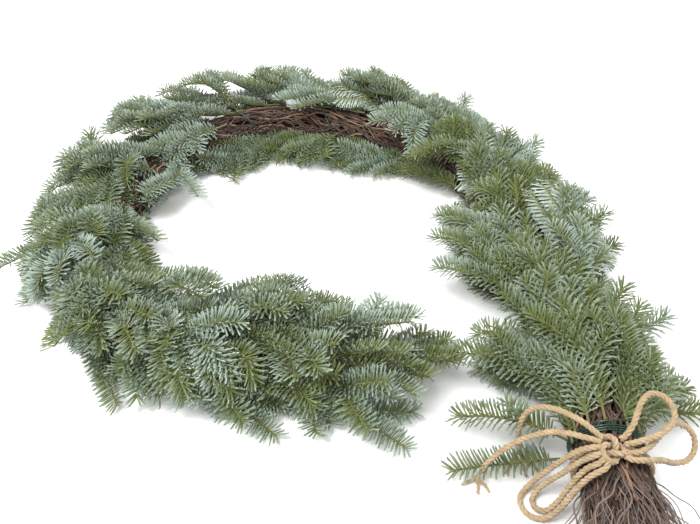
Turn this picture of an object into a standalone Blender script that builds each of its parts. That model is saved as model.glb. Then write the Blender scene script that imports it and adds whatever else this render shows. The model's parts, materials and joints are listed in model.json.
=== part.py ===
# Noble fir garland: a hook of twisted vine stems, tied with jute rope at its neck and bound all along
# with green wire that holds the butts of fir branches. It lies on the plane z = 0, in metres, +Z up.
import math
import random

import bmesh
import bpy
import numpy as np
from mathutils import Vector
from mathutils.bvhtree import BVHTree

# Plan of the vine core's middle line, from the cut tail to the free tip.
CORE_ROUTE = [
    (0.288, -0.370), (0.291, -0.298), (0.299, -0.215), (0.301, -0.135), (0.298, -0.045), (0.285, 0.045),
    (0.259, 0.125), (0.223, 0.205), (0.173, 0.275), (0.105, 0.323), (0.025, 0.355), (-0.065, 0.371),
    (-0.145, 0.357), (-0.210, 0.311), (-0.261, 0.250), (-0.297, 0.165), (-0.320, 0.085), (-0.322, 0.005),
    (-0.295, -0.061), (-0.245, -0.113), (-0.175, -0.149), (-0.095, -0.169), (-0.025, -0.181), (0.027, -0.190),
]
CORE_RADIUS = 0.030
CORE_SIDES = 12
CORE_RIDGE = 0.055        # height of the twisted stems' ridges, as a share of the radius
CORE_TWIST = 9.0          # radians of twist per metre
CORE_SIT = 0.88           # height of the middle line over the floor, as a share of the radius
TIP_TAPER = 0.20          # length over which the core thins towards its free tip
TIP_RADIUS = 0.012

NECK = 0.054              # where the rope ties the core, as a length along its route
NECK_LIFT = 0.0084        # the rope passes under the core there
TIP_LIFT = 0.0032         # and the last turns of wire under its free tip
NECK_RADIUS = 0.031
SHOULDER_RADIUS = 0.034

TAIL_TWIG_RADIUS = 0.0019
TAIL_TWIG_LENGTH = (0.080, 0.128)
TAIL_SPLAY = 26.0         # degrees that the outermost tail twigs turn outwards

WIRE_RADIUS = 0.0008
WIRE_START = NECK + 0.028
WIRE_LONG_TURNS = 11
WIRE_FIRST_PITCH = 0.056  # the first and last turns are close, each over a bunch of branches
WIRE_LAST_PITCH = 0.046
WIRE_END_BARE = 0.026     # core beyond the last turn
WIRE_STEP = 30            # degrees between two points of the wire
WIRE_TIGHT_TURNS = 2
WIRE_TIGHT_PITCH = 0.0045
WIRE_OVER = 0.0043        # height of the wire over the core's ridges, clear of the stems that it binds
WIRE_NOTCH = 0.003        # room that the core leaves for the wire under it

ROPE_RADIUS = 0.003
ROPE_SIDE = 0.0037        # room that a bent rope's side is given
WRAP_TURNS = 2
WRAP_PITCH = 0.0065
KNOT_PLACE = (0.276, -0.321)
KNOT_RADIUS = 0.0085      # trefoil of the bow's knot
KNOT_RISE = 0.0042
KNOT_SEAT = 0.0128        # height of the knot's middle over the core, beside the top of the wrap
RIM_POINTS = 16

GAP = 0.0003              # between pieces that touch
SEAT_GAP = 0.00045        # between a stem and the core under it
STEM_RADIUS = 0.0019
SHOOT_RADIUS = 0.0017
NEEDLE_LENGTH = 0.0225
NEEDLE_BAND = 0.0034
NEEDLE_SWEEP = 50.0       # degrees between a needle and its twig
BARE_STEM = 0.046
STEM_BEHIND = 0.024       # length of stem behind the wire
WHORL_PITCH = 0.0225
LOWEST_TWIG = 0.0065

SEED = 7
TRIES = 30
EASY_ROOM = 0.0062        # room beside a twig that is taken at once
LEAST_ROOM = 0.0024

# Owners of the segments in the space that later pieces stay clear of.
CORE_OWNER = 0
WIRE_OWNER = 1
ROPE_OWNER = 2
TAIL_OWNER = 10

# Bow of jute rope: routes of its loops and tails, from the knot outwards.
ROPE_ROUTES = {
    "rope_tail_a": [(0.264, -0.309, 0.089), (0.255, -0.301, 0.092), (0.245, -0.292, 0.092),
                    (0.234, -0.282, 0.088), (0.223, -0.274, 0.081), (0.213, -0.270, 0.070),
                    (0.207, -0.272, 0.056), (0.2055, -0.277, 0.041), (0.2075, -0.282, 0.027)],
    "rope_tail_b": [(0.260, -0.3146, 0.0868), (0.250, -0.3102, 0.0857), (0.240, -0.3033, 0.0807),
                    (0.228, -0.297, 0.073), (0.215, -0.294, 0.063), (0.201, -0.293, 0.051),
                    (0.187, -0.295, 0.038), (0.175, -0.299, 0.025), (0.166, -0.305, 0.012)],
    "bow_loop_left_outer": [(0.259, -0.3215, 0.085), (0.250, -0.3195, 0.078), (0.2425, -0.317, 0.064),
                            (0.236, -0.315, 0.048), (0.229, -0.314, 0.032), (0.220, -0.315, 0.017),
                            (0.210, -0.320, 0.007), (0.203, -0.329, 0.004), (0.204, -0.340, 0.004),
                            (0.212, -0.3485, 0.004), (0.224, -0.351, 0.008), (0.2345, -0.3485, 0.020),
                            (0.242, -0.345, 0.036), (0.2475, -0.3425, 0.054), (0.255, -0.3415, 0.070),
                            (0.2665, -0.339, 0.079)],
    "bow_loop_left_inner": [(0.2595, -0.3285, 0.083), (0.2515, -0.327, 0.073), (0.2445, -0.325, 0.058),
                            (0.238, -0.323, 0.041), (0.230, -0.3215, 0.025), (0.221, -0.3235, 0.012),
                            (0.215, -0.330, 0.006), (0.216, -0.3385, 0.005), (0.224, -0.344, 0.008),
                            (0.233, -0.342, 0.019), (0.2395, -0.3385, 0.035), (0.245, -0.336, 0.053),
                            (0.252, -0.3345, 0.069), (0.2625, -0.334, 0.080)],
    "bow_loop_right_high": [(0.291, -0.311, 0.089), (0.298, -0.304, 0.095), (0.304, -0.294, 0.100),
                            (0.311, -0.283, 0.103), (0.322, -0.275, 0.104), (0.334, -0.277, 0.102),
                            (0.340, -0.287, 0.099), (0.338, -0.299, 0.096), (0.329, -0.308, 0.094),
                            (0.317, -0.314, 0.092), (0.305, -0.317, 0.090), (0.295, -0.3185, 0.087)],
    "bow_loop_right_low": [(0.2945, -0.3258, 0.0823), (0.304, -0.3235, 0.082), (0.315, -0.317, 0.0815),
                           (0.326, -0.307, 0.081), (0.337, -0.297, 0.080), (0.349, -0.290, 0.076),
                           (0.362, -0.288, 0.069), (0.372, -0.293, 0.059), (0.372, -0.303, 0.049),
                           (0.363, -0.311, 0.044), (0.351, -0.315, 0.047), (0.340, -0.320, 0.056),
                           (0.330, -0.324, 0.066), (0.318, -0.329, 0.075), (0.306, -0.332, 0.080),
                           (0.293, -0.3325, 0.082)],
}
ROPE_POINT_STEP = 0.014
PLY_RADIUS = 0.0017
# Ends of the plies that each tail falls apart into, on the floor.
PLY_ENDS = {
    "rope_plies_a": ("rope_tail_a", [(0.194, -0.301, 0.002), (0.215, -0.304, 0.002), (0.229, -0.298, 0.002)]),
    "rope_plies_b": ("rope_tail_b", [(0.148, -0.313, 0.002), (0.162, -0.323, 0.002), (0.174, -0.321, 0.002)]),
}

# Angles round the core, from its top towards the outside of the hook, at which the wire binds a branch
# in one turn and in the next, and how far in degrees that branch leans out.
BOUND_ANGLES = (
    {26: 18.0, 102: 38.0, -106: 38.0, -40: 24.0},
    {60: 30.0, 108: 36.0, -84: 34.0, -8: 14.0},
)
ANGLE_DRAW = 12.0
BRANCH_LENGTH = (0.140, 0.165)
SIDE_LENGTH = (0.066, 0.084)
SIDE_ANGLE = (33.0, 46.0)
SIDE_PLACES = ((1, 0.44), (-1, 0.56), (1, 0.68))
BARE_SIDE = (0.47, 1.03)  # branches bound along here leave the core's inner side bare
FIRST_LEAN = 1.6          # branches of the first turn lean further out, those of the last less
LAST_LEAN = 0.5
LAST_REACH = 1.2
STEM_TURN = 20            # degrees that a bare stem's corners turn along it
CLOSE_LEAN = {1: 0.5, 8: 0.36, 9: 0.32, 10: 0.36, 11: 0.36}    # turns whose outer branches lean out less
CLOSE_SIDE = 1.18         # from here on the outer branches' side shoots stay close too
CLOSE_ANGLE = 0.5
WIRE_BESIDE = 6           # points of the wire, each way, that a stem may lie beside
BESIDE_POINTS = 12        # points of a branch's path that lie beside the core


def new_material(name, colour, roughness, metallic=0.0):
    material = bpy.data.materials.new(name)
    material.use_nodes = True
    shader = material.node_tree.nodes["Principled BSDF"]
    shader.inputs["Base Color"].default_value = (*colour, 1.0)
    shader.inputs["Roughness"].default_value = roughness
    shader.inputs["Metallic"].default_value = metallic
    return material


def add_object(name, mesh, material):
    mesh.materials.append(material)
    piece = bpy.data.objects.new(name, mesh)
    bpy.context.scene.collection.objects.link(piece)
    return piece


def add_mesh(name, bm, material):
    mesh = bpy.data.meshes.new(name)
    bm.to_mesh(mesh)
    bm.free()
    return add_object(name, mesh, material)


def unit(vector):
    return vector / np.linalg.norm(vector)


def ease(value):
    value = min(max(value, 0.0), 1.0)
    return value * value * (3.0 - 2.0 * value)


class Route:
    # A smooth line through points, read by the length along it.
    def __init__(self, points, steps=10):
        points = [np.array(point, dtype=float) for point in points]
        points = [2 * points[0] - points[1]] + points + [2 * points[-1] - points[-2]]
        line = []
        for a, b, c, d in zip(points, points[1:], points[2:], points[3:]):
            for step in range(steps):
                t = step / steps
                line.append(0.5 * (2 * b + (c - a) * t + (2 * a - 5 * b + 4 * c - d) * t ** 2
                                   + (3 * b - a - 3 * c + d) * t ** 3))
        line.append(points[-2])
        self.line = np.array(line)
        hops = np.linalg.norm(np.diff(self.line, axis=0), axis=1)
        self.reach = np.concatenate([[0.0], np.cumsum(hops)])
        self.length = float(self.reach[-1])

    def at(self, distance):
        return np.array([np.interp(distance, self.reach, axis) for axis in self.line.T])

    def heading(self, distance):
        before = self.at(max(distance - 0.002, 0.0))
        after = self.at(min(distance + 0.002, self.length))
        return unit(after - before)

    def spaced(self, step):
        count = max(2, round(self.length / step))
        return [self.at(self.length * index / count) for index in range(count + 1)]


class Space:
    # Tapered segments already placed, so that nothing later grows through them.
    def __init__(self, size=9000):
        self.start = np.zeros((size, 3))
        self.end = np.zeros((size, 3))
        self.radius = np.zeros((size, 2))
        self.owner = np.zeros((size, 2), dtype=int)
        self.count = 0

    def add(self, start, end, start_radius, end_radius, owner, place=0):
        row = self.count
        self.start[row] = start
        self.end[row] = end
        self.radius[row] = (start_radius, end_radius)
        self.owner[row] = (owner, place)
        self.count += 1

    def add_line(self, points, radius, owner):
        for place, (start, end) in enumerate(zip(points, points[1:])):
            self.add(start, end, radius, radius, owner, place)

    def room(self, start, end, start_radius, end_radius, skip=()):
        # Smallest distance between the new segment's side and the sides of the others. Each skip names an
        # owner and the first and last of its places that are left out.
        n = self.count
        a, b = np.array(start), np.array(end)
        middle = (a + b) / 2
        reach = np.linalg.norm(b - a) / 2 + 0.012
        halves = np.linalg.norm(self.end[:n] - self.start[:n], axis=1) / 2 + self.radius[:n].max(axis=1)
        away = np.linalg.norm((self.start[:n] + self.end[:n]) / 2 - middle, axis=1)
        own = np.zeros(n, dtype=bool)
        for owner, low, high in skip:
            places = self.owner[:n, 1]
            own |= (self.owner[:n, 0] == owner) & (places >= low) & (places <= high)
        near = np.nonzero((away < halves + reach) & ~own)[0]
        if len(near) == 0:
            return 1.0
        c = self.start[near]
        u, v, w = b - a, self.end[near] - c, a - c
        uu, vv = max(u @ u, 1e-12), np.maximum((v * v).sum(axis=1), 1e-12)
        uv, uw, vw = v @ u, w @ u, (v * w).sum(axis=1)
        across = uu * vv - uv * uv
        s = np.clip((uv * vw - vv * uw) / np.maximum(across, 1e-14), 0.0, 1.0)
        t = np.clip((uv * s + vw) / vv, 0.0, 1.0)
        s = np.clip((uv * t - uw) / uu, 0.0, 1.0)
        t = np.clip((uv * s + vw) / vv, 0.0, 1.0)
        gap = np.linalg.norm(w + s[:, None] * u - t[:, None] * v, axis=1)
        radii = self.radius[near]
        gap -= start_radius + (end_radius - start_radius) * s
        gap -= radii[:, 0] + (radii[:, 1] - radii[:, 0]) * t
        return float(gap.min())


CORE = Route([(x, y, 0.0) for x, y in CORE_ROUTE])
WIRE_END = CORE.length - WIRE_END_BARE
WIRE_PITCH = (WIRE_END - WIRE_LAST_PITCH - WIRE_START - WIRE_FIRST_PITCH) / WIRE_LONG_TURNS
CORE_STEP = WIRE_PITCH / 4


def core_radius(s):
    if s < NECK + 0.045:
        # The rope squeezes the bundle between two fuller stretches.
        squeeze = math.cos(min(abs(s - NECK) / 0.030, 1.0) * math.pi) * 0.5 + 0.5
        return SHOULDER_RADIUS + (NECK_RADIUS - SHOULDER_RADIUS) * squeeze
    thin = ease((s - NECK - 0.045) / 0.10)
    radius = SHOULDER_RADIUS + (CORE_RADIUS - SHOULDER_RADIUS) * thin
    left = ease((CORE.length - s) / TIP_TAPER)
    return TIP_RADIUS + (radius - TIP_RADIUS) * left


def core_floor(s):
    at_neck = 1.0 - ease((s - WIRE_START - 0.030) / 0.07)
    at_tip = ease((s - WIRE_END + 0.075) / 0.045)
    return NECK_LIFT * at_neck + TIP_LIFT * at_tip


def wire_station(degrees):
    # Length along the core that the wire has reached after turning so far round it.
    turns = degrees / 360
    if turns < 0:
        return WIRE_START + WIRE_TIGHT_PITCH * turns
    if turns < 1:
        return WIRE_START + WIRE_FIRST_PITCH * turns
    long_turns = min(turns - 1, WIRE_LONG_TURNS)
    last_turn = max(turns - 1 - WIRE_LONG_TURNS, 0.0)
    return WIRE_START + WIRE_FIRST_PITCH + WIRE_PITCH * long_turns + WIRE_LAST_PITCH * last_turn


def wire_notch(s):
    # The core's underside rises where a long turn of wire crosses it.
    turn = (s - WIRE_START - WIRE_FIRST_PITCH) / WIRE_PITCH - 0.5
    nearest = min(max(round(turn), 0), WIRE_LONG_TURNS - 1)
    off = abs(turn - nearest) * WIRE_PITCH
    return WIRE_NOTCH * max(0.0, 1.0 - off / CORE_STEP)


def core_frame(s):
    middle = CORE.at(s)
    middle[2] = core_floor(s) + CORE_SIT * core_radius(s)
    forward = CORE.heading(s)
    outside = np.array([forward[1], -forward[0], 0.0])
    return middle, forward, outside


def round_core(s, degrees, radius):
    middle, _, outside = core_frame(s)
    angle = math.radians(degrees)
    return middle + radius * (math.cos(angle) * np.array([0.0, 0.0, 1.0]) + math.sin(angle) * outside)


def turn_frame(normal, before, after):
    # Carries a normal along a bend without twist.
    normal = normal - after * (normal @ after)
    if np.linalg.norm(normal) < 1e-6:
        normal = before - after * (before @ after)
    return unit(normal)


def tube_mesh(points, radii, sides):
    # A closed tube with flat ends through the points.
    bm = bmesh.new()
    headings = []
    for index in range(len(points)):
        low, high = max(index - 1, 0), min(index + 1, len(points) - 1)
        headings.append(unit(points[high] - points[low]))
    normal = turn_frame(np.array([0.02, 0.03, 1.0]), headings[0], headings[0])
    rings = []
    for index, (point, heading) in enumerate(zip(points, headings)):
        normal = turn_frame(normal, headings[max(index - 1, 0)], heading)
        across = np.cross(heading, normal)
        ring = []
        for side in range(sides):
            angle = math.tau * side / sides
            offset = radii[index] * (math.cos(angle) * normal + math.sin(angle) * across)
            ring.append(bm.verts.new(point + offset))
        rings.append(ring)
    for low, high in zip(rings, rings[1:]):
        for side in range(sides):
            after = (side + 1) % sides
            bm.faces.new((low[side], low[after], high[after], high[side]))
    bm.faces.new(rings[0][::-1])
    bm.faces.new(rings[-1])
    bmesh.ops.triangulate(bm, faces=bm.faces)
    return bm


def grow_strand(bm, face, points, radii):
    # Draws a three-sided strand out of a triangle, given by its corners, and ends it in a point.
    low = list(face)
    normal = None
    for index in range(len(points) - 1):
        heading = unit(points[index + 1] - points[max(index - 1, 0)])
        if normal is None:
            corner = np.array(low[0].co) - sum(np.array(vert.co) for vert in low) / 3
            normal = turn_frame(corner, heading, heading)
        else:
            normal = turn_frame(normal, heading, heading)
        across = np.cross(heading, normal)
        high = []
        for side in range(3):
            angle = math.tau * side / 3
            offset = radii[index] * (math.cos(angle) * normal + math.sin(angle) * across)
            high.append(bm.verts.new(points[index] + offset))
        join_rings(bm, low, high)
        low = high
    tip = bm.verts.new(points[-1])
    for side in range(3):
        bm.faces.new((low[side], low[(side + 1) % 3], tip))


def join_rings(bm, low, high):
    for side in range(3):
        after = (side + 1) % 3
        bm.faces.new((low[side], low[after], high[side]))
        bm.faces.new((low[after], high[after], high[side]))


def make_core(space, draw):
    bm = bmesh.new()
    first = wire_station(360 + 180)
    stations = [0.0, NECK - 0.030, NECK - 0.014, NECK, NECK + 0.014, NECK + 0.030]
    stations += [s for s in (first + CORE_STEP * i for i in range(-4, 60)) if NECK + 0.045 < s < WIRE_END]
    stations.append(CORE.length)
    rings = []
    for s in stations:
        ring = []
        for side in range(CORE_SIDES):
            ridge = 1.0 + CORE_RIDGE * (1 if side % 2 else -1)
            degrees = 360.0 * side / CORE_SIDES + math.degrees(CORE_TWIST * s)
            place = round_core(s, degrees, core_radius(s) * ridge)
            place[2] = max(place[2], core_floor(s) + wire_notch(s))
            ring.append(bm.verts.new(place))
        rings.append(ring)
    for low, high in zip(rings, rings[1:]):
        for side in range(CORE_SIDES):
            after = (side + 1) % CORE_SIDES
            bm.faces.new((low[side], high[after], high[side]))
            bm.faces.new((low[side], low[after], high[after]))
    middle, forward, _ = core_frame(CORE.length)
    tip = bm.verts.new(middle + forward * 0.010)
    for side in range(CORE_SIDES):
        bm.faces.new((rings[-1][side], rings[-1][(side + 1) % CORE_SIDES], tip))
    for s, after in zip(stations, stations[1:]):
        radius = max(core_radius(s), core_radius(after)) * (1 + CORE_RIDGE)
        space.add(core_frame(s)[0], core_frame(after)[0], radius, radius, CORE_OWNER)
    grow_tail(bm, rings[0], space, draw)
    return bm


def grow_tail(bm, rim, space, draw):
    # The cut end of the bundle: every triangle of it runs out into a twig.
    middle, forward, _ = core_frame(0.0)
    back = -forward
    inner = []
    for side in range(0, CORE_SIDES, 2):
        place = 0.55 * (np.array(rim[side].co) - middle) + middle + back * 0.006
        inner.append(bm.verts.new(place))
    hub = bm.verts.new(middle + back * 0.008)
    count = len(inner)
    faces = []
    for index in range(count):
        after = (index + 1) % count
        near, ridge, far = rim[2 * index], rim[2 * index + 1], rim[(2 * index + 2) % CORE_SIDES]
        faces.append((inner[index], ridge, near))
        faces.append((inner[index], inner[after], ridge))
        faces.append((inner[after], far, ridge))
        faces.append((hub, inner[after], inner[index]))
    for index, face in enumerate(faces):
        root = sum(np.array(vert.co) for vert in face) / 3
        best, best_room = None, -1.0
        for _ in range(14):
            points = tail_route(root, middle, back, draw)
            room = min(space.room(a, b, 0.0021, 0.0021, [(CORE_OWNER, 0, 0)])
                       for a, b in zip(points[1:], points[2:]))
            if room > best_room:
                best, best_room = points, room
        if best_room < GAP:
            bm.faces.new(face)
            continue
        radii = [TAIL_TWIG_RADIUS * (1.0 - 0.5 * step / len(best)) for step in range(len(best))]
        grow_strand(bm, face, best[1:], radii)
        space.add(best[0], best[1], 0.004, 0.0021, TAIL_OWNER + index)
        space.add_line(best[1:], 0.0021, TAIL_OWNER + index)


def tail_route(root, middle, back, draw):
    # Outer twigs turn further out, and all of them wander and sink to the floor.
    spread = (root - middle) / SHOULDER_RADIUS
    length = draw.uniform(*TAIL_TWIG_LENGTH)
    splay = math.tan(math.radians(TAIL_SPLAY)) * draw.uniform(0.6, 1.25)
    heading = unit(back + spread * splay)
    wander = np.array([draw.uniform(-1, 1), draw.uniform(-0.3, 0.3), draw.uniform(-0.5, 0.5)]) * 0.45
    steps = 5
    points = [root]
    for step in range(steps):
        share = (step + 1) / steps
        turn = wander * math.sin(share * math.pi * 1.3) + np.array([0.0, 0.0, -0.30]) * share
        heading = unit(heading + turn * 0.55)
        hop = 0.014 if step == 0 else (length - 0.014) / (steps - 1)
        place = points[-1] + heading * hop
        place[2] = max(place[2], 0.0028)
        points.append(place)
    return points


def wire_points():
    last = 360 * (WIRE_LONG_TURNS + 2)
    line = []
    sag = 1.0 / math.cos(math.radians(WIRE_STEP / 2))
    for degrees in range(-360 * WIRE_TIGHT_TURNS, last, WIRE_STEP):
        s = wire_station(degrees)
        place = round_core(s, degrees, (core_radius(s) * (1 + CORE_RIDGE) + WIRE_OVER + WIRE_RADIUS) * sag)
        place[2] = max(place[2], WIRE_RADIUS + 0.0001)
        line.append(place)
    return line


def wrap_points():
    points = []
    steps = 16
    for index in range(steps * WRAP_TURNS + 1):
        turn = index / steps
        s = NECK + WRAP_PITCH * (turn - WRAP_TURNS / 2)
        radius = core_radius(s) * (1 + CORE_RIDGE) + 2 * GAP + ROPE_RADIUS
        place = round_core(s, 360 * turn - 20, radius / math.cos(math.pi / steps))
        place[2] = max(place[2], ROPE_RADIUS + 0.0002)
        points.append(place)
    return points


def knot_points():
    height = core_frame(NECK)[0][2] + core_radius(NECK) * (1 + CORE_RIDGE) + KNOT_SEAT
    count = 33
    points = []
    for index in range(count):
        t = math.tau * index / count
        ring = KNOT_RADIUS + KNOT_RISE * math.cos(3 * t)
        points.append(np.array([KNOT_PLACE[0] + ring * math.cos(2 * t),
                                KNOT_PLACE[1] + ring * math.sin(2 * t),
                                height - KNOT_RISE * math.sin(3 * t)]))
    return points


def cut_back(route, space, backwards=False):
    # Length at which a rope's flat end comes clear of what it would run into.
    distance = 0.0
    while distance < 0.02:
        place = route.length - distance if backwards else distance
        middle, heading = route.at(place), route.heading(place)
        across = unit(np.cross(heading, np.array([0.0, 0.0, 1.0])))
        over = np.cross(heading, across)
        room = 1.0
        for index in range(RIM_POINTS):
            angle = math.tau * index / RIM_POINTS
            rim = middle + ROPE_RADIUS * (math.cos(angle) * across + math.sin(angle) * over)
            room = min(room, space.room(middle, rim, 0.0, 0.0))
        near, far = (place - 0.003, place - 0.009) if backwards else (place + 0.003, place + 0.009)
        room = min(room, space.room(route.at(near), route.at(far), ROPE_SIDE, ROPE_SIDE))
        if room > GAP:
            break
        distance += 0.0004
    return distance


def rope_line(points, space, loop):
    # A loop or tail runs from the side of the knot, and a loop back to it.
    heart = np.array([*KNOT_PLACE, points[0][2] - 0.002])
    points = [np.array(point) for point in points]
    points.insert(0, heart + (points[0] - heart) * 0.62)
    if loop:
        points.append(heart + (points[-1] - heart) * 0.62)
    route = Route(points)
    start = cut_back(route, space)
    end = route.length - (cut_back(route, space, True) if loop else 0.0)
    count = round((end - start) / ROPE_POINT_STEP)
    return [route.at(start + (end - start) * index / count) for index in range(count + 1)]


def rope_curve(name, points, material, roundness=2, closed=False):
    # A round rope of constant thickness through the points, with filled ends.
    curve = bpy.data.curves.new(name, "CURVE")
    curve.dimensions = "3D"
    curve.bevel_depth = ROPE_RADIUS
    curve.bevel_resolution = roundness
    curve.use_fill_caps = not closed
    spline = curve.splines.new("POLY")
    spline.points.add(len(points) - 1)
    for point, place in zip(spline.points, points):
        point.co = (*place, 1.0)
    spline.use_cyclic_u = closed
    return add_object(name, curve, material)


def ply_mesh(root, heading, ends):
    # Three loose plies that leave a short hub at the end of a tail.
    bm = bmesh.new()
    heading = unit(heading)
    side = unit(np.cross(heading, np.array([0.0, 0.0, 1.0])))
    over = np.cross(side, heading)
    rings = []
    for along in (GAP, 0.005):
        ring = []
        for corner in range(6):
            angle = math.tau * corner / 6
            offset = 0.0026 * (math.cos(angle) * side - math.sin(angle) * over)
            ring.append(bm.verts.new(root + heading * along + offset))
        rings.append(ring)
    for corner in range(6):
        after = (corner + 1) % 6
        bm.faces.new((rings[0][corner], rings[0][after], rings[1][after], rings[1][corner]))
    bm.faces.new(rings[0][::-1])
    low = rings[1]
    hub = bm.verts.new(root + heading * 0.006)
    ordered = sorted(ends, key=lambda end: math.atan2(-(end - root) @ over, (end - root) @ side) % math.tau)
    for index, end in enumerate(ordered):
        a, b, c = low[2 * index], low[2 * index + 1], low[(2 * index + 2) % 6]
        bm.faces.new((a, b, hub))
        start = (np.array(b.co) + np.array(c.co) + np.array(hub.co)) / 3 + heading * 0.006
        bend = start * 0.45 + end * 0.55
        bend[2] = max(bend[2] - 0.004, 0.0022)
        line = Route([start, bend, end], 4).spaced(0.009)
        grow_strand(bm, (b, c, hub), line, [PLY_RADIUS * (1 - 0.35 * i / len(line)) for i in range(len(line))])
    bmesh.ops.triangulate(bm, faces=bm.faces)
    bmesh.ops.recalc_face_normals(bm, faces=bm.faces)
    return bm


class Branch:
    # A fir branch: its main shoot runs from the butt under the wire, and side shoots leave it.
    def __init__(self, index, s, degrees, wire_place):
        self.index = index
        self.s = s
        self.degrees = degrees
        self.beside = [(CORE_OWNER, 0, 0), (WIRE_OWNER, wire_place - WIRE_BESIDE, wire_place + WIRE_BESIDE)]
        self.sides = []

    def shoot_owner(self, number):
        return 100 + 10 * self.index + number

    def settle(self, skin):
        # The bare stem lies along the core, a small gap off the highest ridge under it.
        stations = [self.s - STEM_BEHIND + 0.006 * step for step in range(6)]
        ridges = [core_radius(s) * (1 + CORE_RIDGE) for s in stations]
        over = STEM_RADIUS
        for _ in range(4):
            self.bed = [round_core(s, self.degrees, ridge + over) for s, ridge in zip(stations, ridges)]
            over += SEAT_GAP - self.seat_room(skin)
        self.bed = [round_core(s, self.degrees, ridge + over) for s, ridge in zip(stations, ridges)]

    def seat_room(self, skin):
        # Smallest gap between the stem's lowest corner and the core's side.
        inwards = unit(core_frame(self.s)[0] - round_core(self.s, self.degrees, 2 * SHOULDER_RADIUS))
        room = 1.0
        for step in range(16):
            corner = self.bed[0] + (self.bed[-1] - self.bed[0]) * step / 15 + inwards * STEM_RADIUS
            near, facing, _, away = skin.find_nearest(Vector(corner))
            side = 1.0 if (Vector(corner) - near).dot(facing) > 0 else -1.0
            room = min(room, side * away)
        return room

    def lay(self, length, lean, yaw):
        # Path of the main shoot, in steps of 5 mm, bare stem first.
        points = list(self.bed)
        middle, forward, outside = core_frame(self.s)
        angle = math.radians(self.degrees)
        out = math.cos(angle) * np.array([0.0, 0.0, 1.0]) + math.sin(angle) * outside
        if abs(self.degrees) > 90:
            out = math.copysign(1.0, self.degrees) * outside - np.array([0.0, 0.0, 0.20])
        turned = forward * math.cos(yaw) + outside * math.sin(yaw)
        goal = unit(turned * math.cos(lean) + unit(out) * math.sin(lean))
        heading = unit(points[-1] - points[-2])
        run = 0.030
        while run < length:
            share = run / length
            aim = goal + np.array([0.0, 0.0, -0.22 * share * share])
            heading = unit(heading + (unit(aim) - heading) * 0.17)
            place = points[-1] + heading * 0.005
            if place[2] < LOWEST_TWIG:
                place[2] = LOWEST_TWIG
                heading = unit(np.array([heading[0], heading[1], max(heading[2], 0.0)]))
            points.append(place)
            run += 0.005
        return points

    def flat_side(self, heading):
        # Direction across the branch in its own flat plane.
        _, _, outside = core_frame(self.s)
        angle = math.radians(self.degrees)
        tilt = max(math.cos(angle), 0.0) * math.sin(angle) * 0.8
        return unit(np.cross(heading, np.array([0.0, 0.0, 1.0]) + outside * tilt))


def path_room(space, points, first, skip=(), beside=(), rise=0):
    # The path's points before the number given as rise may lie beside further pieces.
    room = 1.0
    for start in range(first, len(points) - 1, 3):
        end = min(start + 3, len(points) - 1)
        left_out = [*skip, *beside] if start < rise else skip
        room = min(room, space.room(points[start], points[end], SHOOT_RADIUS, SHOOT_RADIUS, left_out))
    return room


def bound_places(draw):
    # Station, angle, lean, yaw, reach and place on the wire of each branch, which the wire binds where it
    # passes over the core's sides and top.
    places = []
    for turn in range(WIRE_LONG_TURNS + 2):
        for middle, lean in BOUND_ANGLES[turn % 2].items():
            degrees = middle + draw.uniform(-ANGLE_DRAW, ANGLE_DRAW) * (abs(middle) < 90)
            s = wire_station(360 * turn + degrees % 360)
            on_top = abs(middle) < 50
            bare = BARE_SIDE[0] < s < BARE_SIDE[1]
            if bare and -100 < middle < 0:
                continue
            yaw = (12.0 if bare else -4.0) * on_top
            reach = 1.0
            if turn == 0:
                lean *= FIRST_LEAN
            if middle > 50:
                lean *= CLOSE_LEAN.get(turn, 1.0)
            if turn > WIRE_LONG_TURNS:
                lean *= LAST_LEAN
                reach = LAST_REACH
            wire_place = round((360 * (WIRE_TIGHT_TURNS + turn) + degrees % 360) / WIRE_STEP)
            places.append((s, degrees, lean, yaw, reach, wire_place))
    return sorted(places)


def place_branches(space, skin, draw):
    branches = []
    for index, (s, degrees, lean, yaw, reach, wire_place) in enumerate(bound_places(draw)):
        branch = Branch(index, s, degrees, wire_place)
        branch.settle(skin)
        best, best_room = None, -1.0
        for attempt in range(TRIES):
            length = reach * draw.uniform(*BRANCH_LENGTH) * (1.0 - 0.25 * attempt / TRIES)
            stray = 6 + 12 * attempt / TRIES
            points = branch.lay(length, math.radians(lean + draw.uniform(-stray, stray)),
                                math.radians(yaw + 1.5 * draw.uniform(-stray, stray)))
            room = path_room(space, points, 0, (), branch.beside, BESIDE_POINTS)
            if room > best_room:
                best, best_room = points, room
            if room > EASY_ROOM:
                break
        if best_room < LEAST_ROOM:
            continue
        branch.points = best
        for start in range(0, len(best) - 1, 3):
            end = min(start + 3, len(best) - 1)
            space.add(best[start], best[end], STEM_RADIUS, SHOOT_RADIUS, branch.shoot_owner(0), start)
        branches.append(branch)
    return branches


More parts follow.
